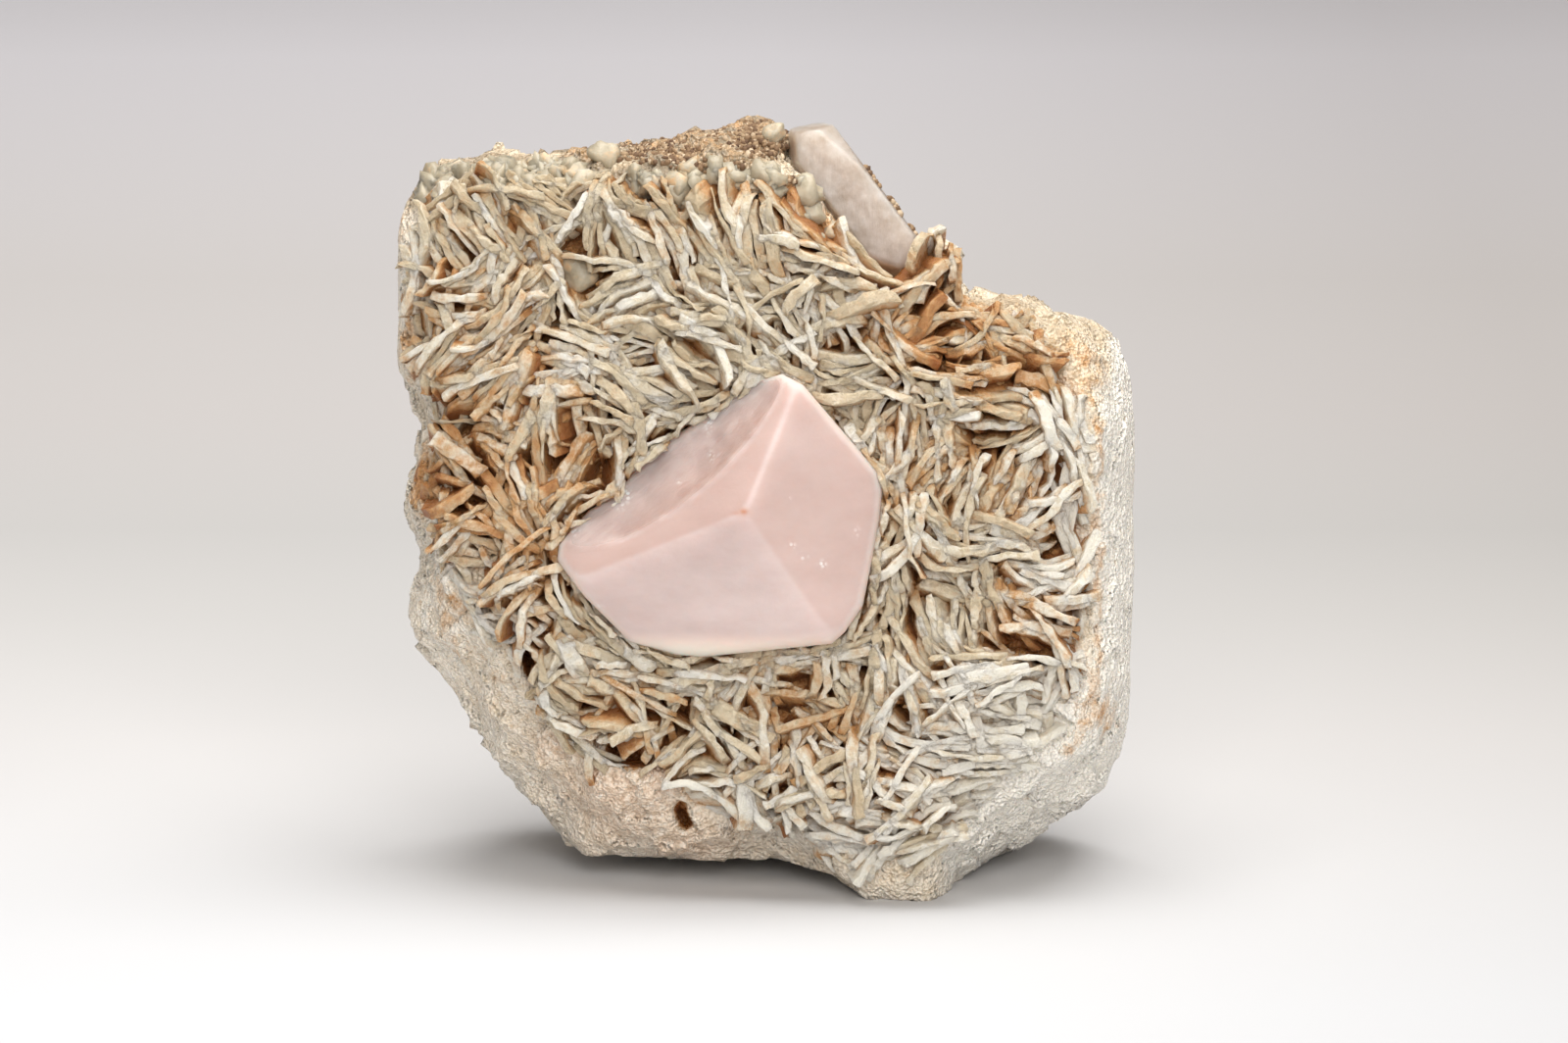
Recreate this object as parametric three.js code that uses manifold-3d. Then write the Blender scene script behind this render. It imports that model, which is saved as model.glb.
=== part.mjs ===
// A morganite crystal in a block of cleavelandite, the bladed kind of albite, with a quartz prism
// grown along the block's upper right edge. Millimetres, +Z up; the block rests on the plane z = 0.
//
// Everything is shaped in the frame of the block's front face: x runs to the right along the face,
// z runs up it and y runs into the block. The whole group then leans back by LEAN about the x axis
// and moves forward by BASE_MIDDLE, which puts the origin well inside the flat the block stands on.
import * as THREE from "three";
import { mergeVertices } from "three/addons/utils/BufferGeometryUtils.js";
import Module from "manifold-3d";

const wasm = await Module();
wasm.setup();
const { Manifold, Mesh: SolidMesh } = wasm;

const LEAN = THREE.MathUtils.degToRad(11);
const BASE_MIDDLE = 14;
const FIT_GAP = 0.35; // clear space between a crystal and its bed in the albite
const MERGE_TOLERANCE = 1e-4;

// ---------------------------------------------------------------- the block of albite

const BLOCK_MIDDLE_Z = 55; // height of the point that the block's outline is measured from
const FRONT_DEPTH = 22; // from the outline's plane forward to the rock under the blades
const BACK_DEPTH = 29;
const SQUARENESS = 7; // exponent of the block's rounded-box section
const BLOCK_DETAIL = 6;
const FACE_SHARE = 0.55; // share of the facets that goes to the front and the back
const BACK_TAPER = 0.12; // part of its width that the block loses towards the back
const ROUGHNESS = 1.5; // height of the broken rock's unevenness

// The block's outline, clockwise from the upper left: [x, z, how far the front edge stands inside it].
const OUTLINE = [
  [-47.2, 109.4, 6], [-42.6, 110, 5], [-35.6, 108.6, 4], [-28.8, 109.4, 4], [-24, 110.2, 3],
  [-12.3, 111.6, 3], [-7, 112.6, 3], [-3.7, 113.6, 3], [0.4, 113.8, 3], [4, 111.8, 3],
  [8, 107.4, 3], [13.2, 101.6, 3], [18.4, 96.8, 3], [23.4, 94.8, 3], [26, 96.4, 2],
  [29, 94, 2], [29.4, 89.6, 2], [31.2, 87.8, 2], [38.7, 87.2, 2], [44, 85.6, 3],
  [49, 84.2, 4], [53, 82, 5], [55.4, 77.4, 5], [56.8, 70, 5], [57.2, 62.8, 5],
  [56.6, 55.4, 5], [56.8, 46.4, 5], [56.8, 40, 5], [56, 34.4, 4], [56, 28.4, 4],
  [54.8, 21.6, 5], [53.4, 16.8, 6], [51.6, 12.9, 8], [44.6, 8.4, 9], [37.2, 4, 8],
  [31, 0.2, 4], [28, -2.4, 1], [26, -9, 0.5], [23, -11, 0.5], [16, -7, 2.5],
  [8, -2.5, 6], [2, -0.2, 9], [-6, -0.2, 10], [-14, 0, 11], [-21.3, 0.8, 12],
  [-27.3, 2.2, 13], [-30.3, 4.6, 13], [-35.5, 11, 13], [-40, 15.6, 14], [-42.7, 19, 14],
  [-45.2, 22.4, 14], [-48, 28.4, 13], [-50.4, 31.4, 12], [-53, 35, 10], [-54.2, 41, 8],
  [-54, 45, 5], [-52.6, 49.4, 3], [-55.2, 55.4, 3], [-54.6, 61, 3], [-52.8, 69, 3],
  [-54.6, 73.6, 3], [-57, 77.6, 3], [-58, 86, 3], [-58, 97.4, 3], [-56, 102.4, 4],
  [-52, 107, 5],
];

// Flat breaks on the sides and the back: [normal x, y, z, distance from the origin].
const BREAKS = [
  [0.1, 0.86, 0.5, 67],
  [-0.62, 0.76, 0.2, 49],
  [0.74, 0.66, 0.12, 49],
  [-0.1, 0.98, -0.16, 27],
  [0.3, 0.5, 0.81, 96],
  [-0.6, 0.4, 0.69, 103],
  [-0.7, 0.45, -0.55, 37],
];

// Where solid albite swells forward between the blades: [x, z, half width, half height, rise].
const SWELLS = [
  [-46, 33, 10, 12, 4], [-35, 16, 10, 9, 4], [-24, 11, 12, 9, 5], [-12, 5, 10, 6, 4],
  [38, 17, 12, 9, 5], [29, 6, 9, 6, 4], [48, 26, 6, 13, 4], [50, 66, 5, 10, 4],
  [-42, 104, 11, 6, 4], [-12, 107, 19, 6, 4.5], [-10, 100, 16, 4, 2.5],
];

// The outline's reach and the front edge's inset, in a direction measured from the block's middle.
function edgeTowards(angle) {
  const across = Math.cos(angle);
  const up = Math.sin(angle);
  let edge = { reach: 0, inset: 0 };
  OUTLINE.forEach(([x1, z1, inset1], i) => {
    const [x2, z2, inset2] = OUTLINE[(i + 1) % OUTLINE.length];
    const side1 = across * (z1 - BLOCK_MIDDLE_Z) - up * x1;
    const side2 = across * (z2 - BLOCK_MIDDLE_Z) - up * x2;
    if (side1 < 0 || side2 >= 0) return;
    const part = side1 / (side1 - side2);
    const x = x1 + part * (x2 - x1);
    const z = z1 + part * (z2 - z1);
    const reach = x * across + (z - BLOCK_MIDDLE_Z) * up;
    if (reach > edge.reach) edge = { reach, inset: inset1 + part * (inset2 - inset1) };
  });
  return edge;
}

// How far the solid albite swells forward at a place on the face.
function forwardAt(x, z) {
  return SWELLS.reduce((sum, [middleX, middleZ, halfWidth, halfHeight, rise]) => {
    const away = ((x - middleX) / halfWidth) ** 2 + ((z - middleZ) / halfHeight) ** 2;
    return Math.max(sum, rise * Math.exp(-away));
  }, 0);
}

// The unevenness of the broken rock, from -1 to 1.
function unevenness({ x, y, z }) {
  const wide = Math.sin(0.11 * x + 0.9) * Math.sin(0.13 * z + 0.4) * Math.cos(0.12 * y);
  const narrow = Math.sin(0.31 * x + 0.21 * z) * Math.cos(0.27 * z - 0.23 * y + 0.7);
  return 0.6 * wide + 0.4 * narrow;
}

// Moves a point that lies on a unit ball out to the surface of the block.
function ontoBlock(point) {
  const towards = new THREE.Vector3(point.x, point.y * FACE_SHARE, point.z).normalize();
  const across = Math.hypot(towards.x, towards.z);
  const square = across ** SQUARENESS + Math.abs(towards.y) ** SQUARENESS;
  const stretch = square ** (-1 / SQUARENESS);
  const depth = towards.y * stretch;
  const { reach, inset } = edgeTowards(Math.atan2(towards.z, towards.x));
  const forward = THREE.MathUtils.smoothstep(-depth, 0, 1);
  const backward = Math.max(0, depth) ** 2;
  const width = stretch * (reach - inset * forward) * (1 - BACK_TAPER * backward);
  point.set(
    towards.x * width,
    depth * (depth < 0 ? FRONT_DEPTH : BACK_DEPTH),
    BLOCK_MIDDLE_Z + towards.z * width,
  );
  point.addScaledVector(towards, ROUGHNESS * unevenness(point));
  point.y -= forward * forwardAt(point.x, point.z);
  for (const [x, y, z, distance] of BREAKS) {
    const normal = new THREE.Vector3(x, y, z).normalize();
    point.addScaledVector(normal, -Math.max(0, point.dot(normal) - distance));
  }
}

// How deep the rock's front lies at a place on the face, and how near the place is to its edge.
function frontAt(x, z) {
  const { reach, inset } = edgeTowards(Math.atan2(z - BLOCK_MIDDLE_Z, x));
  const nearness = Math.min(0.995, Math.hypot(x, z - BLOCK_MIDDLE_Z) / (reach - inset * 0.6));
  const flatness = (1 - nearness ** SQUARENESS) ** (1 / SQUARENESS);
  return { depth: -FRONT_DEPTH * flatness - forwardAt(x, z), nearness };
}

// ---------------------------------------------------------------- the cleavelandite blades

const BLADE_LENGTH = 11;
const BLADE_THICKNESS = 2;
const BLADE_EDGE = 0.75; // part of its thickness that a blade keeps along its free edge
const BLADE_FOOT = 0.55; // part of its length that it keeps at its root
const BLADE_RISE = 6; // how far a blade stands out of the rock
const BLADE_ROOT = 3; // how far it goes on inside it
const BLADE_SPACING = 3.1;
const BLADE_SLIDE = 2; // most that a blade sits off its spray's middle, either way along its edge
const BLADE_WARP = 0.4; // most that a blade's ends are shifted against each other
const BLADE_FAN = 14; // degrees between two neighbouring blades of a spray
const BLADE_TURN = 6; // most that a blade turns out of its spray's direction, in degrees
const BLADE_ROLL = 0.45; // most that a blade tilts to either side
const EDGE_SPLAY = 0.5; // how much the blades near the block's edge lean outwards
const OUTERMOST = 0.88; // place of the outermost blades, as a part of the way to the block's edge

// The sprays of blades: [x, z, direction of the blades' edges in degrees from the x axis].
const SPRAYS = [
  [-52, 93, -22], [-51.5, 99, -78], [-48, 98, -62], [-45.5, 92, 42], [-38.5, 95.5, -55],
  [-30.5, 99.5, -52], [-34, 94.5, -65], [-26.5, 100, 88], [-22.5, 96.5, -50], [-38, 86, 47],
  [-43.5, 86.5, 70], [-14, 82.5, -42], [-8.5, 76.5, -52], [-12.5, 93, -60], [-5.5, 85.5, -14],
  [0, 93, -75], [-22, 79, -82], [-17, 81, 5], [-29, 78, -14], [-37, 77, 42],
  [-49, 76, 27], [-48.5, 70, 28], [-47.5, 66.5, 8], [-32, 66.5, 80], [-28, 70.5, -86],
  [-20.5, 71, -28], [-24, 64, -62], [-40, 61, -38], [-51.5, 59, -30], [-35, 63.5, -84],
  [-26, 60, 60], [-5, 78.5, -68], [-49, 54, -22], [-38.5, 54, -60], [-50, 50, -30],
  [-40.5, 46.5, 35], [-50, 44, -72], [-34, 49.5, 88], [-41, 43, 22], [-30, 39.5, -36],
  [-19, 28.5, -18], [-26.5, 26.5, -25], [-36.5, 32, -58], [-5, 28.5, 50], [-1, 25, -86],
  [-9.5, 15.5, -72], [-4, 17.5, -48], [-14.5, 17, 60], [-23, 23, 5], [5, 32.5, -10],
  [10, 28.5, -3], [12.5, 34, 30], [4.5, 25.5, -86], [16.5, 27, 88], [22.5, 38.5, -75],
  [25, 36, -86], [26.5, 27, -70], [29, 33, -55], [34, 34.5, 88], [35.5, 29, 17],
  [42.5, 41.5, 5], [46, 35.5, -12], [49, 32, -65], [32.5, 50.5, -6], [32.5, 46.5, -20],
  [44.5, 57, 15], [41.5, 46.5, -15], [19.5, 53, -80], [19.5, 45.5, -20], [17.5, 37.5, -40],
  [11, 22.5, 55], [19, 17, -36], [29.5, 21, -3], [8.5, 8.5, 22], [16.5, 7, 24],
  [9.5, 3.5, -23], [22, 4.5, 33], [1, 15, -70], [14.5, 11.5, -15], [8, 94, -12],
  [13.5, 88.5, 78], [5, 84.5, -62], [13, 82.5, 18], [21.5, 86.5, 36], [26, 83, 88],
  [29.5, 83, -70], [35, 85, -4], [30.5, 78, 35], [41.5, 77, -26], [32.5, 75, 28],
  [46.5, 80, -84], [6.5, 78, 58], [12.5, 79, 0], [12, 71.5, 60], [14, 69, 68],
  [25, 63.5, 35], [32.5, 70.5, 15], [32.5, 62, 62], [40, 61.5, 60], [46, 62, -88],
  [20.5, 76, -35], [23, 73.5, -88], [27.5, 91.5, 85],
];
const PAIRED_SHARE = 0.27; // how many of the sprays have two main blades side by side

// A repeatable number from 0 to 1 for each seed.
function chance(seed) {
  const scattered = Math.sin(seed * 12.9898 + 4.1414) * 43758.5453;
  return scattered - Math.floor(scattered);
}

// The same from -1 to 1.
function eitherWay(seed) {
  return 2 * chance(seed) - 1;
}

// One blade along x, standing on its root: a plate on edge, shorter at its root and thinner on top.
function bladeGeometry(length, rise, skew) {
  const tall = rise + BLADE_ROOT;
  const blade = new THREE.BoxGeometry(length, BLADE_THICKNESS, tall);
  blade.translate(0, 0, tall / 2 - BLADE_ROOT);
  const corners = blade.attributes.position;
  for (let i = 0; i < corners.count; i += 1) {
    const end = Math.sign(corners.getX(i));
    const onTop = corners.getZ(i) > 0;
    corners.setX(i, corners.getX(i) * (onTop ? 1 : BLADE_FOOT));
    corners.setY(i, corners.getY(i) * (onTop ? BLADE_EDGE : 1) + skew * end);
    if (onTop) corners.setZ(i, corners.getZ(i) + skew * end);
  }
  return blade;
}

function sprayBlade([x, z, degrees], place, seed) {
  const turned = degrees + BLADE_FAN * place + BLADE_TURN * eitherWay(seed);
  const slant = THREE.MathUtils.degToRad(turned);
  const edge = new THREE.Vector3(Math.cos(slant), 0, Math.sin(slant));
  const slide = BLADE_SLIDE * eitherWay(seed + 0.3);
  const foot = new THREE.Vector2(
    x + edge.x * slide - edge.z * place * BLADE_SPACING,
    z + edge.z * slide + edge.x * place * BLADE_SPACING - BLOCK_MIDDLE_Z,
  );
  const { nearness } = frontAt(foot.x, foot.y + BLOCK_MIDDLE_Z);
  foot.multiplyScalar(Math.min(1, OUTERMOST / nearness));
  const { depth } = frontAt(foot.x, foot.y + BLOCK_MIDDLE_Z);
  const splay = EDGE_SPLAY * nearness ** 5;
  const outwards = foot.clone().normalize().multiplyScalar(splay);
  const up = new THREE.Vector3(outwards.x, -1, outwards.y).normalize();
  up.applyAxisAngle(edge, BLADE_ROLL * eitherWay(seed + 0.6));
  edge.addScaledVector(up, -edge.dot(up)).normalize();
  const length = BLADE_LENGTH * (0.8 + 0.45 * chance(seed + 0.1));
  const rise = BLADE_RISE * (0.8 + 0.3 * chance(seed + 0.2));
  const blade = bladeGeometry(length, rise, BLADE_WARP * eitherWay(seed + 0.4));
  const turn = new THREE.Matrix4().makeBasis(edge, new THREE.Vector3().crossVectors(up, edge), up);
  turn.setPosition(foot.x, depth, foot.y + BLOCK_MIDDLE_Z);
  return blade.applyMatrix4(turn);
}

// ---------------------------------------------------------------- lumps, crust and pits

// Lumps of albite, quartz and earthy crust: [x, z, half width, half height, half depth].
const LUMPS = [
  [-20, 107.4, 6, 3, 6], [-10.5, 108.9, 8.4, 3.4, 8], [-1.5, 109.9, 6.6, 3.5, 8],
  [3.4, 106, 4.2, 2.8, 5], [-45, 103.4, 6.5, 4, 3], [-17.5, 101.4, 5.4, 2.4, 3],
  [-11, 99.4, 5, 2.8, 3], [-5, 101, 4.6, 2.8, 3.2], [2, 100.2, 3.8, 2.8, 3], [8, 97, 2.8, 2.4, 2.6],
  [-28.5, 91, 4.2, 4, 3.4], [-20.5, 90.5, 4.6, 2.4, 2.8], [20.5, 20.5, 2, 3, 3],
];
const LUMP_UNEVENNESS = 0.16;
const WIDE_LUMP = 4; // half width from which a lump has finer facets

// Open pits in the face: [x, z, half width, half height, direction in degrees].
const PITS = [
  [-20.8, 18.7, 3.2, 1.8, -5], [-12.5, 9.3, 1.7, 0.8, -60], [-35.8, 32.5, 3.4, 0.9, -58],
];
const PIT_DEPTH = 6;

function lumpGeometry([x, z, halfWidth, halfHeight, halfDepth]) {
  const lump = new THREE.IcosahedronGeometry(1, halfWidth < WIDE_LUMP ? 0 : 1);
  lump.scale(halfWidth, halfDepth, halfHeight);
  lump.translate(x, frontAt(x, z).depth - halfDepth * 0.1, z);
  const points = lump.attributes.position;
  const point = new THREE.Vector3();
  for (let i = 0; i < points.count; i += 1) {
    point.fromBufferAttribute(points, i);
    const uneven = LUMP_UNEVENNESS * Math.sin(1.7 * point.x + 1.3 * point.z) * halfHeight;
    points.setXYZ(i, point.x, point.y + uneven, point.z + uneven);
  }
  return lump;
}

function pitGeometry([x, z, halfWidth, halfHeight, degrees]) {
  const pit = new THREE.IcosahedronGeometry(1, 1);
  pit.scale(halfWidth, PIT_DEPTH, halfHeight);
  pit.rotateY(THREE.MathUtils.degToRad(-degrees));
  return pit.translate(x, frontAt(x, z).depth - 1, z);
}

// ---------------------------------------------------------------- the morganite

// The crystal's outline on the face, clockwise from its top: [x, z].
const MORGANITE_OUTLINE = [
  [2.4, 75.7], [5.6, 74], [16.8, 61], [17.5, 58.3], [17.1, 54], [15.1, 43.6], [14.5, 40.8],
  [11.8, 36.9], [9.9, 35.2], [-9.7, 33.1], [-13.7, 33.4], [-20.5, 35.5], [-27.2, 42.2], [-31.4, 47.7],
  [-31.2, 50.1], [-26.7, 55.2], [-22.3, 57.7], [-20, 61], [-14.9, 65.9], [-7.6, 70.1], [-2.4, 74.3],
];
const MORGANITE_MIDDLE = { x: -6, z: 53 };
const MORGANITE_FLOOR = -14; // depth at which the crystal ends inside the block
const MORGANITE_LENGTH = 40; // from there to well in front of its faces
const MORGANITE_NARROWEST = 16; // from its middle to the nearest side
const APEX = new THREE.Vector3(-3.1, -38, 55);

// The faces that meet at the apex: [change of depth along x, along z].
const RIGHT_FACE = [0.42, 0.08];
const LOWER_FACE = [-0.13, -0.3];
const UPPER_FACE = [-0.42, 0.42];
const HEEL_FACE = [-0.05, -1.5]; // narrow steep face along the bottom edge
const HEEL_Z = 35.4;

// The shell-shaped break at the upper left: half sizes along it, into it and across it.
const BREAK_SIZE = [36, 12, 17.9];
const BREAK_MIDDLE = new THREE.Vector3(-20.2, -35.5, 68.8);
const BREAK_SLANT = THREE.MathUtils.degToRad(41);

// How deep a sloping face lies at a place, measured from a point that it passes through.
function depthOnFace([slopeX, slopeZ], through, x, z) {
  return through.y + slopeX * (x - through.x) + slopeZ * (z - through.z);
}

// A large box with one side on a sloping face: what it covers lies outside the crystal.
function outsideOf([slopeX, slopeZ], through) {
  const size = 160;
  const box = new THREE.BoxGeometry(size, size, size).translate(0, 0, size / 2);
  const normal = new THREE.Vector3(slopeX, -1, slopeZ).normalize();
  const turn = new THREE.Quaternion().setFromUnitVectors(new THREE.Vector3(0, 0, 1), normal);
  return box.applyQuaternion(turn).translate(through.x, through.y, through.z);
}

// A prism that stands on an outline of the face and runs forward from a depth.
function prismForward(outline, grow, fromDepth, length) {
  const shape = new THREE.Shape(
    outline.map(([x, z]) => new THREE.Vector2(
      MORGANITE_MIDDLE.x + (x - MORGANITE_MIDDLE.x) * grow,
      MORGANITE_MIDDLE.z + (z - MORGANITE_MIDDLE.z) * grow,
    )),
  );
  const prism = new THREE.ExtrudeGeometry(shape, { depth: length, bevelEnabled: false });
  return prism.rotateX(Math.PI / 2).translate(0, fromDepth, 0);
}

function morganiteSolid() {
  const prism = solidOf(prismForward(MORGANITE_OUTLINE, 1, MORGANITE_FLOOR, MORGANITE_LENGTH));
  const { x } = MORGANITE_MIDDLE;
  const heel = new THREE.Vector3(x, depthOnFace(LOWER_FACE, APEX, x, HEEL_Z), HEEL_Z);
  const shell = new THREE.IcosahedronGeometry(1, 5).scale(...BREAK_SIZE);
  const along = new THREE.Vector3(Math.cos(BREAK_SLANT), 0, Math.sin(BREAK_SLANT));
  const inward = new THREE.Vector3(UPPER_FACE[0], -1, UPPER_FACE[1]);
  inward.addScaledVector(along, -inward.dot(along)).normalize();
  const across = new THREE.Vector3().crossVectors(along, inward);
  shell.applyMatrix4(new THREE.Matrix4().makeBasis(along, inward, across).setPosition(BREAK_MIDDLE));
  return prism
    .subtract(solidOf(outsideOf(RIGHT_FACE, APEX)))
    .subtract(solidOf(outsideOf(LOWER_FACE, APEX)))
    .subtract(solidOf(outsideOf(UPPER_FACE, APEX)))
    .subtract(solidOf(outsideOf(HEEL_FACE, heel)))
    .subtract(solidOf(shell));
}

function morganiteSocket() {
  const grow = 1 + FIT_GAP / MORGANITE_NARROWEST;
  const floor = MORGANITE_FLOOR + FIT_GAP;
  return solidOf(prismForward(MORGANITE_OUTLINE, grow, floor, MORGANITE_LENGTH));
}

// ---------------------------------------------------------------- the quartz

const QUARTZ_START = new THREE.Vector3(6.9, -10.9, 113.2);
const QUARTZ_END = new THREE.Vector3(21.2, -13.4, 92.2);
const QUARTZ_RADIUS = 4.7;
const QUARTZ_SLOPES = [2.4, 3.4]; // length of the sloping faces at the upper and at the lower end
const QUARTZ_END_FACE = 0.5; // radius of the flat end faces, for a prism of radius 1

// A six-sided prism with sloping faces round its blunt ends, from QUARTZ_START to QUARTZ_END.
function quartzGeometry(grow) {
  const length = QUARTZ_START.distanceTo(QUARTZ_END) + 2 * grow;
  const radius = QUARTZ_RADIUS + grow;
  const profile = [
    new THREE.Vector2(0, 0),
    new THREE.Vector2(radius * QUARTZ_END_FACE, 0),
    new THREE.Vector2(radius, QUARTZ_SLOPES[0]),
    new THREE.Vector2(radius, length - QUARTZ_SLOPES[1]),
    new THREE.Vector2(radius * QUARTZ_END_FACE, length),
    new THREE.Vector2(0, length),
  ];
  const prism = new THREE.LatheGeometry(profile, 6).translate(0, -grow, 0);
  const along = QUARTZ_END.clone().sub(QUARTZ_START).normalize();
  const turn = new THREE.Quaternion().setFromUnitVectors(new THREE.Vector3(0, 1, 0), along);
  return prism.applyQuaternion(turn).translate(...QUARTZ_START.toArray());
}

// ---------------------------------------------------------------- joining and cutting

// A closed geometry as a solid.
function solidOf(geometry) {
  const bare = new THREE.BufferGeometry();
  const loose = geometry.index ? geometry.toNonIndexed() : geometry;
  bare.setAttribute("position", loose.attributes.position);
  const merged = mergeVertices(bare, MERGE_TOLERANCE);
  return new Manifold(new SolidMesh({
    numProp: 3,
    vertProperties: merged.attributes.position.array,
    triVerts: new Uint32Array(merged.index.array),
  }));
}

function meshOf(solid, name, material) {
  const { vertProperties, triVerts } = solid.getMesh();
  const geometry = new THREE.BufferGeometry();
  geometry.setAttribute("position", new THREE.BufferAttribute(vertProperties, 3));
  geometry.setIndex(new THREE.BufferAttribute(triVerts, 1));
  geometry.computeVertexNormals();
  const mesh = new THREE.Mesh(geometry, material);
  mesh.name = name;
  return mesh;
}

// The main body of a solid, without the crumbs that a cut leaves loose.
function mainBody(solid) {
  return solid.decompose().reduce((best, body) => (body.volume() > best.volume() ? body : best));
}

// Everything below the plane that the block rests on, in the leaning frame of the face.
function belowBase() {
  const size = 300;
  const box = new THREE.BoxGeometry(size, size, size).translate(0, 0, -size / 2);
  return solidOf(box.rotateX(LEAN));
}

function albiteSolid() {
  const block = new THREE.IcosahedronGeometry(1, BLOCK_DETAIL);
  const point = new THREE.Vector3();
  const points = block.attributes.position;
  for (let i = 0; i < points.count; i += 1) {
    point.fromBufferAttribute(points, i);
    ontoBlock(point);
    points.setXYZ(i, point.x, point.y, point.z);
  }
  const blades = SPRAYS.flatMap((spray, number) => {
    if (chance(number) > PAIRED_SHARE) return [sprayBlade(spray, 0, number * 7)];
    return [sprayBlade(spray, -0.5, number * 7), sprayBlade(spray, 0.5, number * 7 + 3)];
  });
  const grown = Manifold.union([
    solidOf(block),
    ...blades.map(solidOf),
    ...LUMPS.map((lump) => solidOf(lumpGeometry(lump))),
  ]);
  const cut = Manifold.union([
    ...PITS.map((pit) => solidOf(pitGeometry(pit))),
    morganiteSocket(),
    solidOf(quartzGeometry(FIT_GAP)),
    belowBase(),
  ]);
  return mainBody(grown.subtract(cut));
}

// ---------------------------------------------------------------- the specimen

const albite = new THREE.MeshStandardMaterial({ color: 0xd9cdb8, roughness: 0.75 });
const morganite = new THREE.MeshStandardMaterial({ color: 0xe0bfb4, roughness: 0.3 });
const quartz = new THREE.MeshStandardMaterial({ color: 0xd8c6b6, roughness: 0.3 });

const specimen = new THREE.Group();
specimen.add(meshOf(albiteSolid(), "albite_matrix", albite));
specimen.add(meshOf(morganiteSolid(), "morganite_crystal", morganite));
specimen.add(meshOf(solidOf(quartzGeometry(0)), "quartz_crystal", quartz));
specimen.rotation.x = -LEAN;
specimen.position.y = -BASE_MIDDLE;

export default specimen;
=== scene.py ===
import math
import random

import bmesh
import bpy
from mathutils import Matrix, Vector, bvhtree, noise


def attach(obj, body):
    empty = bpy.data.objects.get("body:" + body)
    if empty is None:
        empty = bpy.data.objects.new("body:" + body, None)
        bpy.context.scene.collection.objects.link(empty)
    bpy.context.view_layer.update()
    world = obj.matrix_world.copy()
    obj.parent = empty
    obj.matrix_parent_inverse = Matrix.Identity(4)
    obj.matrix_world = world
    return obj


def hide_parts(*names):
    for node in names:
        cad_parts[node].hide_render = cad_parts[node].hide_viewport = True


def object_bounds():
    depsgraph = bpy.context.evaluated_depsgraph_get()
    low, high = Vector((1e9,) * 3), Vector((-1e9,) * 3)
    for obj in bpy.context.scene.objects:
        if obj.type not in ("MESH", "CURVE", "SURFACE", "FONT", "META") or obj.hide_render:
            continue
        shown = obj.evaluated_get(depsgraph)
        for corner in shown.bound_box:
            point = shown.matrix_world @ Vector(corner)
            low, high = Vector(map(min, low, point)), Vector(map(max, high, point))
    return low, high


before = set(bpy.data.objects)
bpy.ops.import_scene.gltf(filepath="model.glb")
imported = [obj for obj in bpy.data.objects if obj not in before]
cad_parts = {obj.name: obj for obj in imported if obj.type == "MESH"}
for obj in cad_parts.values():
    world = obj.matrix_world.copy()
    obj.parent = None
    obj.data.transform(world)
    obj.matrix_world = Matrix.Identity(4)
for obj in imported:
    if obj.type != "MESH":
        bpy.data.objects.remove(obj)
cad_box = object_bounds()

# ------------------------ the block of albite
# The block is massive albite, broken out of the wall of a pegmatite pocket. Its front was the
# pocket's lining and carries the blades; its sides and back are rough breaks, and it leans back
# a little on the flat break underneath.
MM = 0.001
LEAN = math.radians(11)
BASE_MIDDLE = 14
ON_FACE = (
    Matrix.Translation((0, -BASE_MIDDLE * MM, 0))
    @ Matrix.Rotation(-LEAN, 4, "X")
    @ Matrix.Scale(MM, 4)
)
BLOCK_MIDDLE_Z = 55
FRONT_DEPTH = 22
BACK_DEPTH = 29
SQUARENESS = 7
FACE_SHARE = 0.8  # under 1, the mesh is finer on the sides than on the front and the back
BACK_TAPER = 0.12
BLOCK_DETAIL = 7
WALL_EDGE = 0.95  # longest edge that the mesh keeps on the walls
WALL_NEARNESS = 0.7  # how near to the face's edge the walls' finer mesh begins
WALL_BACK = 12  # how far back it reaches

# The broken faces, in size and steepness: small ones, chips on them, broad ones at the back.
FACET_SIZE, FACET_TILT = 5.5, 0.24
CHIP_SIZE, CHIP_TILT = FACET_SIZE / 2.6, 0.13
CLEAVAGE_SIZE, CLEAVAGE_TILT = 15, 0.15

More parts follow.
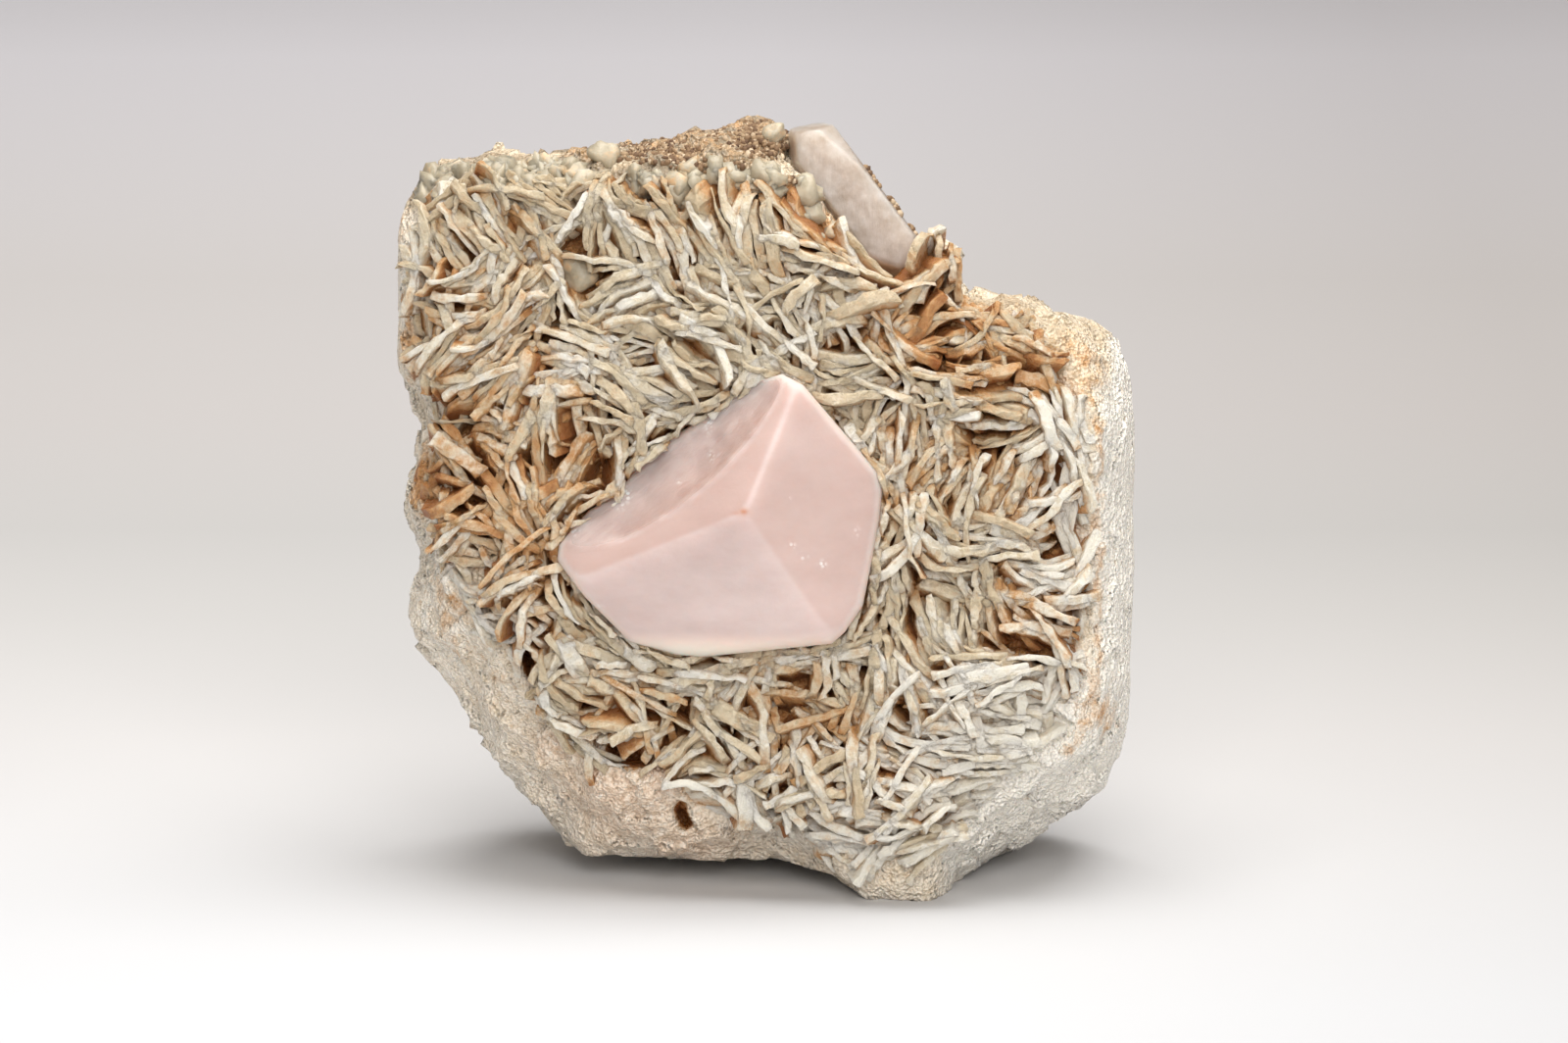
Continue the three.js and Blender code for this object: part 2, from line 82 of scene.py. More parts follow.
# The outline of the face, clockwise from the upper left: (x, z, how far the front edge is inside).
OUTLINE = [
    (-47.2, 109.4, 6), (-42.6, 110, 5), (-35.6, 108.6, 4), (-28.8, 109.4, 4), (-24, 110.2, 3),
    (-12.3, 111.6, 3), (-7, 112.6, 3), (-3.7, 113.6, 3), (0.4, 113.8, 3), (4, 111.8, 3),
    (8, 107.4, 3), (13.2, 101.6, 3), (18.4, 96.8, 3), (23.4, 94.8, 3), (26, 96.4, 2),
    (29, 94, 2), (29.4, 89.6, 2), (31.2, 87.8, 2), (38.7, 87.2, 2), (44, 85.6, 3),
    (49, 84.2, 4), (53, 82, 5), (55.4, 77.4, 5), (56.8, 70, 5), (57.2, 62.8, 5),
    (56.6, 55.4, 5), (56.8, 46.4, 5), (56.8, 40, 5), (56, 34.4, 4), (56, 28.4, 4),
    (54.8, 21.6, 5), (53.4, 16.8, 6), (51.6, 12.9, 8), (44.6, 8.4, 9), (37.2, 4, 8),
    (31, 0.2, 4), (28, -2.4, 1), (26, -9, 0.5), (23, -11, 0.5), (16, -7, 2.5),
    (8, -2.5, 6), (2, -0.2, 9), (-6, -0.2, 10), (-14, 0, 11), (-21.3, 0.8, 12),
    (-27.3, 2.2, 13), (-30.3, 4.6, 13), (-35.5, 11, 13), (-40, 15.6, 14), (-42.7, 19, 14),
    (-45.2, 22.4, 14), (-48, 28.4, 13), (-50.4, 31.4, 12), (-53, 35, 10), (-54.2, 41, 8),
    (-54, 45, 5), (-52.6, 49.4, 3), (-55.2, 55.4, 3), (-54.6, 61, 3), (-52.8, 69, 3),
    (-54.6, 73.6, 3), (-57, 77.6, 3), (-58, 86, 3), (-58, 97.4, 3), (-56, 102.4, 4),
    (-52, 107, 5),
]

# Flat breaks on the sides and the back: (normal x, y, z, distance from the origin).
BREAKS = [
    (0.1, 0.86, 0.5, 67), (-0.62, 0.76, 0.2, 49), (0.74, 0.66, 0.12, 49), (-0.1, 0.98, -0.16, 27),
    (0.3, 0.5, 0.81, 96), (-0.6, 0.4, 0.69, 103), (-0.7, 0.45, -0.55, 37),
]

# Where solid albite swells forward between the blades: (x, z, half width, half height, rise).
SWELLS = [
    (-46, 33, 10, 12, 4), (-35, 16, 10, 9, 4), (-24, 11, 12, 9, 5), (-12, 5, 10, 6, 4),
    (38, 17, 12, 9, 5), (29, 6, 9, 6, 4), (48, 26, 6, 13, 4), (50, 66, 5, 10, 4),
    (-42, 104, 11, 6, 4), (-12, 107, 19, 6, 4.5), (-10, 100, 16, 4, 2.5),
]

# Open pits in the face: (x, z, half width, half height, direction in degrees).
PITS = [(-20.8, 18.7, 3.2, 1.8, -5), (-12.5, 9.3, 1.7, 0.8, -60), (-35.8, 32.5, 3.4, 0.9, -58)]
PIT_DEPTH = 8

# Brown iron stain: (x, z, half width, strength).
STAINS = [
    (25, 84, 9.5, 0.8), (33, 80, 9, 0.75), (44, 78, 8, 0.7), (-52, 60, 7, 1.0), (-38, 73, 7, 0.8),
    (-54, 80, 6, 0.7), (20, 58, 9, 0.6), (-30, 66, 8, 0.5), (6, 24, 13, 0.35), (-47, 42, 7, 0.5),
    (8, 99, 6, 0.6), (35, 60, 9, 0.4), (51, 24, 4, 0.6), (-20, 24, 8, 0.3), (-48, 92, 8, 0.35),
    (-44, 58, 14, 0.7), (-40, 76, 10, 0.5), (42, 38, 9, 0.3), (22, 30, 8, 0.25),
    (25, 92, 5, 0.3), (-57, 98, 4, 0.5), (-36, 56, 15, 0.75), (-47, 30, 10, 0.5),
]

# Pinkish tan, fine-grained rock at the lower left: (x, z, half width, half height, strength).
TAN_PATCHES = [(-22, 12, 12, 9, 1), (-12, 5, 8, 4, 1), (-30, 20, 6, 3, 1)]

# Places where the rock is bare of blades: (x, z, half width, half height).
BARE = [
    (-41, 107, 14, 4.2), (-8, 107.5, 15, 5.5), (-28.5, 91, 2.6, 2.8), (55, 45, 3.4, 42),
    (50.5, 66, 2.6, 7), (51, 12, 6, 7), (-22, 11, 11, 8), (-21.5, 19, 5, 3.4), (-12, 3, 9, 4),
    (-37, 8, 8, 5), (24, -7, 13, 7),
]
# Where the blades are low and run together: (x, z, half width, half height).
FUSED = [(42, 14, 18, 14), (-46, 34, 10, 18), (12, 1, 16, 8)]
FUSED_SHARE = 0.75
NOTCH_BLADES = [(26.5, 93, 4, 4)]  # where the blades stand right on the edge, under the quartz

# How near to the face's edge the blades reach, less this much at the bottom, the right and the low
# left, and more in the notch under the quartz.
FIELD_EDGE = 0.975
SHORT_LOW, SHORT_RIGHT, SHORT_LOW_LEFT, BEYOND_IN_NOTCH = 0.035, 0.075, 0.03, 0.12

POCKET_DEPTH = 1.8  # how much deeper the rock lies between the blades
SEAM_NEARNESS = 0.93  # where a sugary, stained seam divides the blades from the wall on the right
SEAM_HALF_WIDTH = 0.035
FOOT_GAP = 2.2  # between the floor and the front edge of the base at the left

# Earthy crust along the top edge: (x, z, half width, half height).
CRUSTS = [(-9, 111.5, 14.5, 5), (0.5, 104.5, 2.8, 1.6), (-29.5, 109, 3, 2)]
CRUST_LUMPS = 1.3

# Whiter and greyer rock: (x, z, half width, half height).
WHITE_ROCK = [(58, 45, 9, 48), (44, 11, 20, 20)]
GREY_ROCK = [(-42, 107, 18, 7), (-14, 104, 12, 4)]

# The groove that the quartz prism lies in: middle x and z, half length, half width and depth.
GROOVE = (13.6, 102.5, 14.4, 5.2, -11)
GROOVE_ANGLE = math.radians(37)  # of its sides' normal, from the x axis
GROOVE_LIP = 1.5

# How far inside the limits of the model a shape starts to be drawn in: x, y, z.
EASING = (3, 3, 1)

INSET_SHARE = 0.6  # how much of the inset counts where a place's nearness to the edge is measured
NEAREST = 0.995  # the most that such a nearness can be
FAR = 1e6  # how far it is to something that a line doesn't meet

ALBITE = {"IOR": 1.53, "Subsurface Scale": 0.002, "Subsurface Radius": (1.0, 0.85, 0.7)}
GLINT = (0.15, 0.7)  # the roughness of its flakes, from the shiniest to the dullest


def sides(outline):
    """The sides of a closed outline, each with its two ends."""
    return zip(outline, outline[1:] + outline[:1])


def outline_ahead(outline, middle_x, middle_z, x, up):
    """An outline's reach from its middle towards a place, and the last of its values there."""
    length = math.hypot(x, up) or 1
    across, rise = x / length, up / length
    found = []
    for start, end in sides(outline):
        (x1, z1), (x2, z2) = [(at[0] - middle_x, at[1] - middle_z) for at in (start, end)]
        side1, side2 = across * z1 - rise * x1, across * z2 - rise * x2
        if side1 >= 0 > side2:
            part = side1 / (side1 - side2)
            reach = (x1 + part * (x2 - x1)) * across + (z1 + part * (z2 - z1)) * rise
            found.append((reach, start[-1] + part * (end[-1] - start[-1])))
    return max(found, default=(FAR, 0))


def bump_at(places, x, z):
    """The highest of some soft round bumps at a place: (x, z, half width, half height, height)."""
    highest = 0
    for middle_x, middle_z, half_width, half_height, height in places:
        away = ((x - middle_x) / half_width) ** 2 + ((z - middle_z) / half_height) ** 2
        highest = max(highest, height * math.exp(-away))
    return highest


def stain_at(x, z):
    return bump_at([(at_x, at_z, wide, wide, much) for at_x, at_z, wide, much in STAINS], x, z)


def fade(value, none_at, full_at):
    """0 up to one limit of a value, 1 from the other limit on, and smooth between them."""
    part = min(1, max(0, (value - none_at) / (full_at - none_at)))
    return part * part * (3 - 2 * part)


def field_edge(x, z):
    """How near to the face's edge the blades reach."""
    low = SHORT_LOW * fade(z, 30, 5) * fade(x, -20, -10)
    low_left = SHORT_LOW_LEFT * fade(x, -25, -35) * fade(z, 46, 36)
    short = max(low, low_left, SHORT_RIGHT * fade(x, 35, 47))
    return FIELD_EDGE - short + BEYOND_IN_NOTCH * inside(NOTCH_BLADES, x, z)


def inside(places, x, z):
    """1 well inside one of some ellipses, falling to 0 at their rims."""
    away = [
        math.hypot((x - middle_x) / half_width, (z - middle_z) / half_height)
        for middle_x, middle_z, half_width, half_height in places
    ]
    return fade(min(away), 1.1, 0.8)


def in_groove(x, z, margin=0):
    """1 in the groove that holds the quartz prism, falling to 0 at its sides."""
    middle_x, middle_z, half_length, half_width, _ = GROOVE
    x, z = x - middle_x, z - middle_z
    across = abs(x * math.cos(GROOVE_ANGLE) + z * math.sin(GROOVE_ANGLE))
    along = abs(z * math.cos(GROOVE_ANGLE) - x * math.sin(GROOVE_ANGLE))
    beside, beyond = half_width + margin - across, half_length + margin - along
    return fade(beside, 0, GROOVE_LIP) * fade(beyond, 0, GROOVE_LIP)


def onto_block(unit):
    """Where a point of a unit ball lies on the block, before the rock's own roughness."""
    towards = Vector((unit.x, unit.y * FACE_SHARE, unit.z)).normalized()
    across = math.hypot(towards.x, towards.z)
    stretch = (across ** SQUARENESS + abs(towards.y) ** SQUARENESS) ** (-1 / SQUARENESS)
    depth = towards.y * stretch
    reach, inset = outline_ahead(OUTLINE, 0, BLOCK_MIDDLE_Z, towards.x, towards.z)
    forward = fade(depth, 0, -1)
    width = stretch * (reach - inset * forward) * (1 - BACK_TAPER * max(0, depth) ** 2)
    x, z = towards.x * width, BLOCK_MIDDLE_Z + towards.z * width
    y = depth * (FRONT_DEPTH if depth < 0 else BACK_DEPTH) - forward * bump_at(SWELLS, x, z)
    point = Vector((x, y, z))
    for *normal, distance in BREAKS:
        normal = Vector(normal).normalized()
        point -= normal * max(0, point.dot(normal) - distance)
    return point


def front_at(x, z):
    """How deep the rock's front lies at a place, and how near the place is to the face's edge."""
    reach, inset = outline_ahead(OUTLINE, 0, BLOCK_MIDDLE_Z, x, z - BLOCK_MIDDLE_Z)
    nearness = math.hypot(x, z - BLOCK_MIDDLE_Z) / (reach - inset * INSET_SHARE)
    nearness = min(NEAREST, nearness)
    flatness = (1 - nearness ** SQUARENESS) ** (1 / SQUARENESS)
    return -FRONT_DEPTH * flatness - bump_at(SWELLS, x, z), nearness


def crust_at(point):
    """1 on the earthy crust, 0 off it, with a ragged rim."""
    ragged = 5 * noise.noise(point * 0.12) + 3 * noise.noise(point * 0.35)
    return inside(CRUSTS, point.x + ragged, point.z) * fade(point.y - 1.5 * ragged, 4, -1)


def pocket_at(x, z):
    """1 where the rock lies deep between the blades, 0 where it is bare or at the field's edge."""
    inwards = fade(field_edge(x, z) - front_at(x, z)[1], 0, 0.1)
    return inwards * (1 - inside(BARE, x, z)) * (1 - FUSED_SHARE * inside(FUSED, x, z))


def at_back(point):
    """1 on the back of the block, 0 on its front and on the sides near it."""
    return fade(point.y, 2, 14)


def broken_relief(point):
    """The height of a rough break: a mosaic of tilted faces on a wider unevenness."""
    relief = 1.2 * noise.fractal(point * 0.07, 1, 2, 3)
    broad = (CLEAVAGE_SIZE, CLEAVAGE_TILT * at_back(point))
    for size, steepness in (broad, (FACET_SIZE, FACET_TILT), (CHIP_SIZE, CHIP_TILT)):
        site = noise.voronoi(point / size)[1][0]
        tilt = Vector((math.sin(site.x * 91.7), math.sin(site.y * 57.3), math.sin(site.z * 73.1)))
        relief += steepness * tilt.dot(point - site * size)
    return relief


def cleavage_tone(point):
    """How much paler or darker than the rest a broad broken face at the back is, from -1 to 1."""
    site = noise.voronoi(point / CLEAVAGE_SIZE)[1][0]
    return math.sin(site.x * 45.1 + site.z * 31.7) * at_back(point)


def on_smooth_wall(point):
    """1 on the smooth wall on the right, 0 off it."""
    return fade(point.x, 48, 54) * fade(abs(point.z - 45), 70, 40)


def wall_striation(point):
    """Fine ribs that run up and down the smooth wall."""
    return 0.35 * noise.noise(Vector((point.x * 0.5, point.y * 0.9, point.z * 0.06)))


def on_seam(point):
    """1 on the sugary seam between the blades and the right wall, 0 off it."""
    nearness = front_at(point.x, point.z)[1]
    on_right = fade(abs(nearness - SEAM_NEARNESS), SEAM_HALF_WIDTH, 0) * fade(point.x, 40, 48)
    return on_right * fade(point.y, 0, -8)


def pit_at(x, z):
    """How deep an open pit goes at a place."""
    deepest = 0
    for middle_x, middle_z, half_width, half_height, degrees in PITS:
        turn = math.radians(degrees)
        along = (x - middle_x) * math.cos(turn) + (z - middle_z) * math.sin(turn)
        across = (z - middle_z) * math.cos(turn) - (x - middle_x) * math.sin(turn)
        away = (along / half_width) ** 4 + (across / half_height) ** 4
        deepest = max(deepest, PIT_DEPTH * math.exp(-away))
    return deepest


def eased(value, low, high, room):
    """A value that is drawn in near two limits, so that it stays between them."""
    if value < low + room:
        return low + room * math.exp((value - low) / room - 1)
    if value > high - room:
        return high - room * math.exp((high - value) / room - 1)
    return value


def finished(bm, name, material, smooth=True):
    """The object that a bmesh in the frame of the face makes, set in the row frame."""
    bmesh.ops.transform(bm, matrix=ON_FACE, verts=bm.verts)
    low, high = cad_box
    for vertex in bm.verts:
        for axis, room in enumerate(EASING):
            if axis < 2 or vertex.co.z > high[2] / 2:
                vertex.co[axis] = eased(vertex.co[axis], low[axis], high[axis], room * MM)
        vertex.co.z = max(0, vertex.co.z)
    for face in bm.faces:
        face.smooth = smooth
    mesh = bpy.data.meshes.new(name)
    bm.to_mesh(mesh)
    bm.free()
    mesh.validate()
    mesh.materials.append(material)
    piece = bpy.data.objects.new(name, mesh)
    bpy.context.scene.collection.objects.link(piece)
    return piece


def tone(red, green, blue):
    """A screen colour, 0 to 255, as the linear colour that shaders take."""
    linear = [((part / 255 + 0.055) / 1.055) ** 2.4 for part in (red, green, blue)]
    return (*linear, 1)


def add_node(tree, kind, inputs=None, **settings):
    """A new shader node; its inputs are given by name or number, as values or as sockets."""
    node = tree.nodes.new("ShaderNode" + kind)
    for name, value in settings.items():
        setattr(node, name, value)
    for name, value in (inputs or {}).items():
        if isinstance(value, bpy.types.NodeSocket):
            tree.links.new(value, node.inputs[name])
        else:
            node.inputs[name].default_value = value
    return node


def add_math(tree, operation, first, second=0.0):
    return add_node(tree, "Math", {0: first, 1: second}, operation=operation).outputs[0]


def add_ramp(tree, factor, first, last, *middle):
    """A colour ramp; each stop is a place from 0 to 1 and a screen colour."""
    node = add_node(tree, "ValToRGB", {"Fac": factor})
    stops = node.color_ramp.elements
    stops[0].position, stops[0].color = first[0], tone(*first[1])
    stops[1].position, stops[1].color = last[0], tone(*last[1])
    for place, colour in middle:
        stops.new(place).color = tone(*colour)
    return node.outputs["Color"]


def add_noise(tree, vector, scale, detail=4.0, roughness=0.6):
    inputs = {"Vector": vector, "Scale": scale, "Detail": detail, "Roughness": roughness}
    return add_node(tree, "TexNoise", inputs).outputs["Fac"]


def add_cells(tree, vector, scale):
    return add_node(tree, "TexVoronoi", {"Vector": vector, "Scale": scale}).outputs


def add_range(tree, value, low, high, from_low=0.0, from_high=1.0):
    """A value's own range, from 0 to 1 if none is given, carried over to another one."""
    inputs = {0: value, 1: from_low, 2: from_high, 3: low, 4: high}
    return add_node(tree, "MapRange", inputs).outputs[0]


def drawn_out(tree, vector, scale, turn=0.0):
    """Pattern places that are drawn out or pressed together on each axis, turned about y."""
    inputs = {"Vector": vector, "Rotation": (0, turn, 0), "Scale": scale}
    return add_node(tree, "Mapping", inputs).outputs[0]


def add_mix(tree, factor, first, second, blend="MIX"):
    inputs = {0: factor, 6: first, 7: second}
    return add_node(tree, "Mix", inputs, data_type="RGBA", blend_type=blend).outputs[2]


def add_attribute(tree, name, output="Fac"):
    return add_node(tree, "Attribute", attribute_name=name).outputs[output]


def new_material(name, constants):
    """A material, its node tree, its shader with the values that are the same all over, and the
    object's own places for the patterns."""
    material = bpy.data.materials.new(name)
    material.use_nodes = True
    shader = material.node_tree.nodes["Principled BSDF"]
    for socket, value in constants.items():
        shader.inputs[socket].default_value = value
    place = add_node(material.node_tree, "TexCoord").outputs["Object"]
    return material, material.node_tree, shader, place


def add_bump(tree, shader, height, distance, strength=1.0, under=None):
    inputs = {"Height": height, "Distance": distance, "Strength": strength}
    if under:
        inputs["Normal"] = under
    bumped = add_node(tree, "Bump", inputs).outputs["Normal"]
    tree.links.new(bumped, shader.inputs["Normal"])
    return bumped


def stained(tree, colour, stain, place):
    """A stone colour with brown iron stain over it, patchy where the stain is thin."""
    patches = add_noise(tree, place, 420.0, 6.0, 0.7)
    spread = add_math(tree, "MULTIPLY", add_math(tree, "SUBTRACT", patches, 0.5), 1.4)
    amount = add_math(tree, "ADD", stain, spread)
    brown = add_ramp(
        tree, amount, (0.15, (228, 200, 160)), (1.0, (166, 106, 56)), (0.4, (219, 177, 129)),
        (0.7, (198, 145, 92)),
    )
    return add_mix(tree, add_range(tree, amount, 0.0, 1.0, 0.2, 0.6), colour, brown)


def massive_albite():
    looks = {**ALBITE, "Subsurface Weight": 0.2}
    material, tree, shader, place = new_material("massive_albite", looks)
    streaks = add_noise(tree, drawn_out(tree, place, (1, 1, 0.25)), 130.0, 8.0, 0.75)
    # The rock's whiteness, with painted shade on the faces that turn up.
    mottle = add_math(tree, "ADD", streaks, add_attribute(tree, "whiteness_and_shade"))
    flakes = add_cells(tree, place, 750.0)
    mottle = add_math(tree, "ADD", mottle, add_range(tree, flakes["Color"], -0.07, 0.07))
    pale = add_ramp(
        tree, mottle, (0.0, (148, 132, 110)), (0.85, (255, 247, 234)), (0.3, (186, 164, 134)),
        (0.45, (221, 202, 173)), (0.6, (242, 227, 205)),
    )
    grains = add_noise(tree, place, 900.0, 4.0, 0.7)
    sand = add_ramp(
        tree, grains, (0.3, (200, 168, 138)), (0.7, (255, 242, 226)), (0.5, (242, 216, 190))
    )
    rock = add_mix(tree, add_attribute(tree, "tan"), pale, sand)
    rock = stained(tree, rock, add_attribute(tree, "stain"), place)
    tree.links.new(rock, shader.inputs["Base Color"])
    tree.links.new(add_range(tree, flakes["Color"], *GLINT), shader.inputs["Roughness"])
    coarse = add_bump(tree, shader, add_noise(tree, place, 300.0, 8.0, 0.7), 0.001, 0.3)
    sugary = add_bump(tree, shader, flakes["Distance"], 0.0006, 0.7, coarse)
    add_bump(tree, shader, add_cells(tree, place, 1700.0)["Distance"], 0.0006, 1.0, sugary)
    return material


def block_stain(point, facing, pocket, crust):
    """The brown iron stain at a point of the block, from 0 to about 1."""
    zone = stain_at(point.x, point.z) * (0.2 + 0.8 * fade(point.y, -6, -14))
    zone *= min(1, 0.75 + noise.noise(point * 0.15)) * fade(point.y, 16, 0)
    pit = facing * fade(pit_at(point.x, point.z), 0, 3)
    behind = 0.34 * at_back(point) * fade(noise.noise(point * 0.1), 0.12, 0.42)
    seam = 0.42 * on_seam(point)
    return max(0.75 * zone + 0.06, 0.9 * pocket, 0.36 * crust, seam, 1.3 * pit, behind)


def block_tone_and_shade(point, normal, crust):
    """How much whiter than the rest of the rock a point of the block is, or greyer below 0, with
    painted shade on the faces that turn up.
    """
    grey = inside(GREY_ROCK, point.x, point.z) * fade(point.y, -2, -14)
    top_shade_mask = fade(normal.z, 0, 1)
    whiteness_and_shade = 0.14 + 0.3 * inside(WHITE_ROCK, point.x, point.z) - 0.9 * grey * (1 - 0.5 * top_shade_mask)
    # Faces that turn up are darkened: painted shade.
    return whiteness_and_shade - 0.9 * crust - 0.22 * top_shade_mask + 0.11 * cleavage_tone(point)


def is_wall(vertex):
    return front_at(vertex.co.x, vertex.co.z)[1] > WALL_NEARNESS


def albite_block():
    bm = bmesh.new()
    bmesh.ops.create_icosphere(bm, subdivisions=BLOCK_DETAIL, radius=1)
    for vertex in bm.verts:
        vertex.co = onto_block(vertex.co)
    walls = [
        edge for edge in bm.edges
        if edge.calc_length() > WALL_EDGE and all(map(is_wall, edge.verts))
        and edge.verts[0].co.y < WALL_BACK
    ]
    bmesh.ops.subdivide_edges(bm, edges=walls, cuts=1)
    bmesh.ops.triangulate(bm, faces=bm.faces)
    bm.normal_update()
    stain, tan, whiteness_and_shade = [bm.verts.layers.float.new(name) for name in ("stain", "tan", "whiteness_and_shade")]
    normals = [vertex.normal.copy() for vertex in bm.verts]
    for vertex, normal in zip(bm.verts, normals):
        point = vertex.co.copy()
        smooth_wall, crust = on_smooth_wall(point), crust_at(point)
        relief = broken_relief(point) * (1 - 0.7 * smooth_wall)
        relief += wall_striation(point) * smooth_wall
        relief += crust * CRUST_LUMPS * (0.6 + noise.noise(point * 0.2))
        vertex.co += normal * relief
        facing = fade(normal.y, 0, -0.5)
        pocket = facing * pocket_at(point.x, point.z)
        vertex.co.y += facing * pit_at(point.x, point.z) + POCKET_DEPTH * pocket
        vertex.co.y += in_groove(point.x, point.z) * max(0, GROOVE[4] - vertex.co.y)
        vertex[stain] = block_stain(point, facing, pocket, crust)
        vertex[tan] = bump_at(TAN_PATCHES, point.x, point.z) * fade(point.y, 0, -12)
        vertex[whiteness_and_shade] = block_tone_and_shade(point, normal, crust)
    piece = finished(bm, "albite_block", massive_albite())
    for vertex in piece.data.vertices:
        x, y, z = vertex.co / MM
        low = fade(z, 4, 0) * fade(x, 16, 8)
        vertex.co.z += FOOT_GAP * MM * low * fade(y, -1, -7)
    return piece


block = albite_block()
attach(block, "root")
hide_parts("albite_matrix")

# ------------------------ the cleavelandite blades
# Cleavelandite is albite that grew as thin curved plates. They stand on edge on the block's front,
# side by side in sprays that fan out from a common root, with brown iron stain in the gaps.

# The sprays: (x, z, direction of the blades' edges in degrees from the x axis).
SPRAYS = [
    (-52, 93, -22), (-51.5, 99, -78), (-48, 98, -62), (-45.5, 92, 42), (-38.5, 95.5, -55),
    (-30.5, 99.5, -52), (-34, 94.5, -65), (-26.5, 100, 88), (-22.5, 96.5, -50), (-38, 86, 47),
    (-43.5, 86.5, 70), (-14, 82.5, -42), (-8.5, 76.5, -52), (-12.5, 93, -60), (-5.5, 85.5, -14),
    (0, 93, -75), (-22, 79, -82), (-17, 81, 5), (-29, 78, -14), (-37, 77, 42),
    (-49, 76, 27), (-48.5, 70, 28), (-47.5, 66.5, 8), (-32, 66.5, 80), (-28, 70.5, -86),
    (-20.5, 71, -28), (-24, 64, -62), (-40, 61, -38), (-51.5, 59, -30), (-35, 63.5, -84),
    (-26, 60, 60), (-5, 78.5, -68), (-49, 54, -22), (-38.5, 54, -60), (-50, 50, -30),
    (-40.5, 46.5, 35), (-50, 44, -72), (-34, 49.5, 88), (-41, 43, 22), (-30, 39.5, -36),
    (-19, 28.5, -18), (-26.5, 26.5, -25), (-36.5, 32, -58), (-5, 28.5, 50), (-1, 25, -86),
    (-9.5, 15.5, -72), (-4, 17.5, -48), (-14.5, 17, 60), (-23, 23, 5), (5, 32.5, -10),
    (10, 28.5, -3), (12.5, 34, 30), (4.5, 25.5, -86), (16.5, 27, 88), (22.5, 38.5, -75),
    (25, 36, -86), (26.5, 27, -70), (29, 33, -55), (34, 34.5, 88), (35.5, 29, 17),
    (42.5, 41.5, 5), (46, 35.5, -12), (49, 32, -65), (32.5, 50.5, -6), (32.5, 46.5, -20),
    (44.5, 57, 15), (41.5, 46.5, -15), (19.5, 53, -80), (19.5, 45.5, -20), (17.5, 37.5, -40),
    (11, 22.5, 55), (19, 17, -36), (29.5, 21, -3), (8.5, 8.5, 22), (16.5, 7, 24),
    (9.5, 3.5, -23), (22, 4.5, 33), (1, 15, -70), (14.5, 11.5, -15), (8, 94, -12),
    (13.5, 88.5, 78), (5, 84.5, -62), (13, 82.5, 18), (21.5, 86.5, 36), (26, 83, 88),
    (29.5, 83, -70), (35, 85, -4), (30.5, 78, 35), (41.5, 77, -26), (32.5, 75, 28),
    (46.5, 80, -84), (6.5, 78, 58), (12.5, 79, 0), (12, 71.5, 60), (14, 69, 68),
    (25, 63.5, 35), (32.5, 70.5, 15), (32.5, 62, 62), (40, 61.5, 60), (46, 62, -88),
    (20.5, 76, -35), (23, 73.5, -88), (27.5, 91.5, 85),
]

# Where the blades are whitest: (x, z, half width, half height).
WHITE_BLADES = [
    (36, 18, 22, 15), (44, 45, 8, 30), (-4, 9, 10, 7), (12, 3, 14, 8), (-45, 34, 12, 14),
]

SPRAY_PITCH = 6.2
SPRAY_COLUMNS, SPRAY_ROWS = range(-10, 11), range(-3, 22)
SPRAY_JITTER = (-0.4, 0.4)
SPRAY_REACH = 4.5  # from where a spray begins to its middle
BLADES_IN_SPRAY = (5, 8)
LOW_BLADES = 2  # lower, browner ones that fill in under each spray
LOWER_BY = 1.3  # how much lower they are
BLADE_LENGTH = (6, 14)
BLADE_THICKNESS = (0.85, 1.6)
THICK_SHARE = 0.1  # how many blades are several plates grown together
SPRAY_RISE = (3.4, 6.2)
UNEVEN_RISE = 0.5
BLADE_ROOT = 6  # how far a blade goes into the rock
BLADE_GAP = 1.05  # from blade to blade where a spray begins
STAIN_LEVEL = 5.4  # the height above the rock where the gaps' brown stain ends
FAN_DEGREES = 5
CROSSING_SHARE = 0.12  # how many sprays cut across the direction of their neighbours
OPENING = 0.08  # how much each blade of a spray tips away from the next, in radians
GROUND_SHARE = 0.4  # how far the blades follow the slope of the rock that they stand on
LOWEST_FOOT = 6  # above the floor

# The collar of blades that lean on the morganite's side.
COLLAR_STEP = 1.9
COLLAR_GAP = 0.5
COLLAR_HALF_LENGTH = (2.4, 4.4)
COLLAR_RISE = (4, 5.8)
# A spray in the notch under the quartz: (x, z, direction of the blade's edge in degrees).
NOTCH_SPRAY = [
    (23.4, 91.8, 62), (24.4, 92.6, 72), (25.5, 92.6, 82), (26.6, 92, 88), (27.7, 91.2, 84),
    (28.5, 90, 98), (25, 89.6, 75), (27, 88.4, 70),
]

QUARTER_X, QUARTER_Z = -4, 52  # where the four pieces that the blades are kept in meet

BLADE_SIZE = (10, 1.5, 11)  # of the plate that the others are drawn out from
BLADE_BEVEL = 0.24
BLADE_CUTS = 7  # along the blade

blade_random = random.Random(11)
noise.seed_set(11)  # Blender would start noise_vector from the clock


def surface_of(piece):
    """A finished piece's surface, to find places on it."""
    places = [vertex.co for vertex in piece.data.vertices]
    return bvhtree.BVHTree.FromPolygons(places, [face.vertices for face in piece.data.polygons])


OFF_FACE = ON_FACE.inverted()
block_surface = surface_of(block)


def rock_in_front(x, z):
    """Where a line straight into the face meets the finished block, and the rock's direction."""
    start, ahead = ON_FACE @ Vector((x, -90, z)), ON_FACE.to_3x3() @ Vector((0, 1, 0))
    found, normal, _, _ = block_surface.ray_cast(start, ahead.normalized())
    if not found:
        return None, None
    return OFF_FACE @ found, (OFF_FACE.to_3x3() @ normal).normalized()


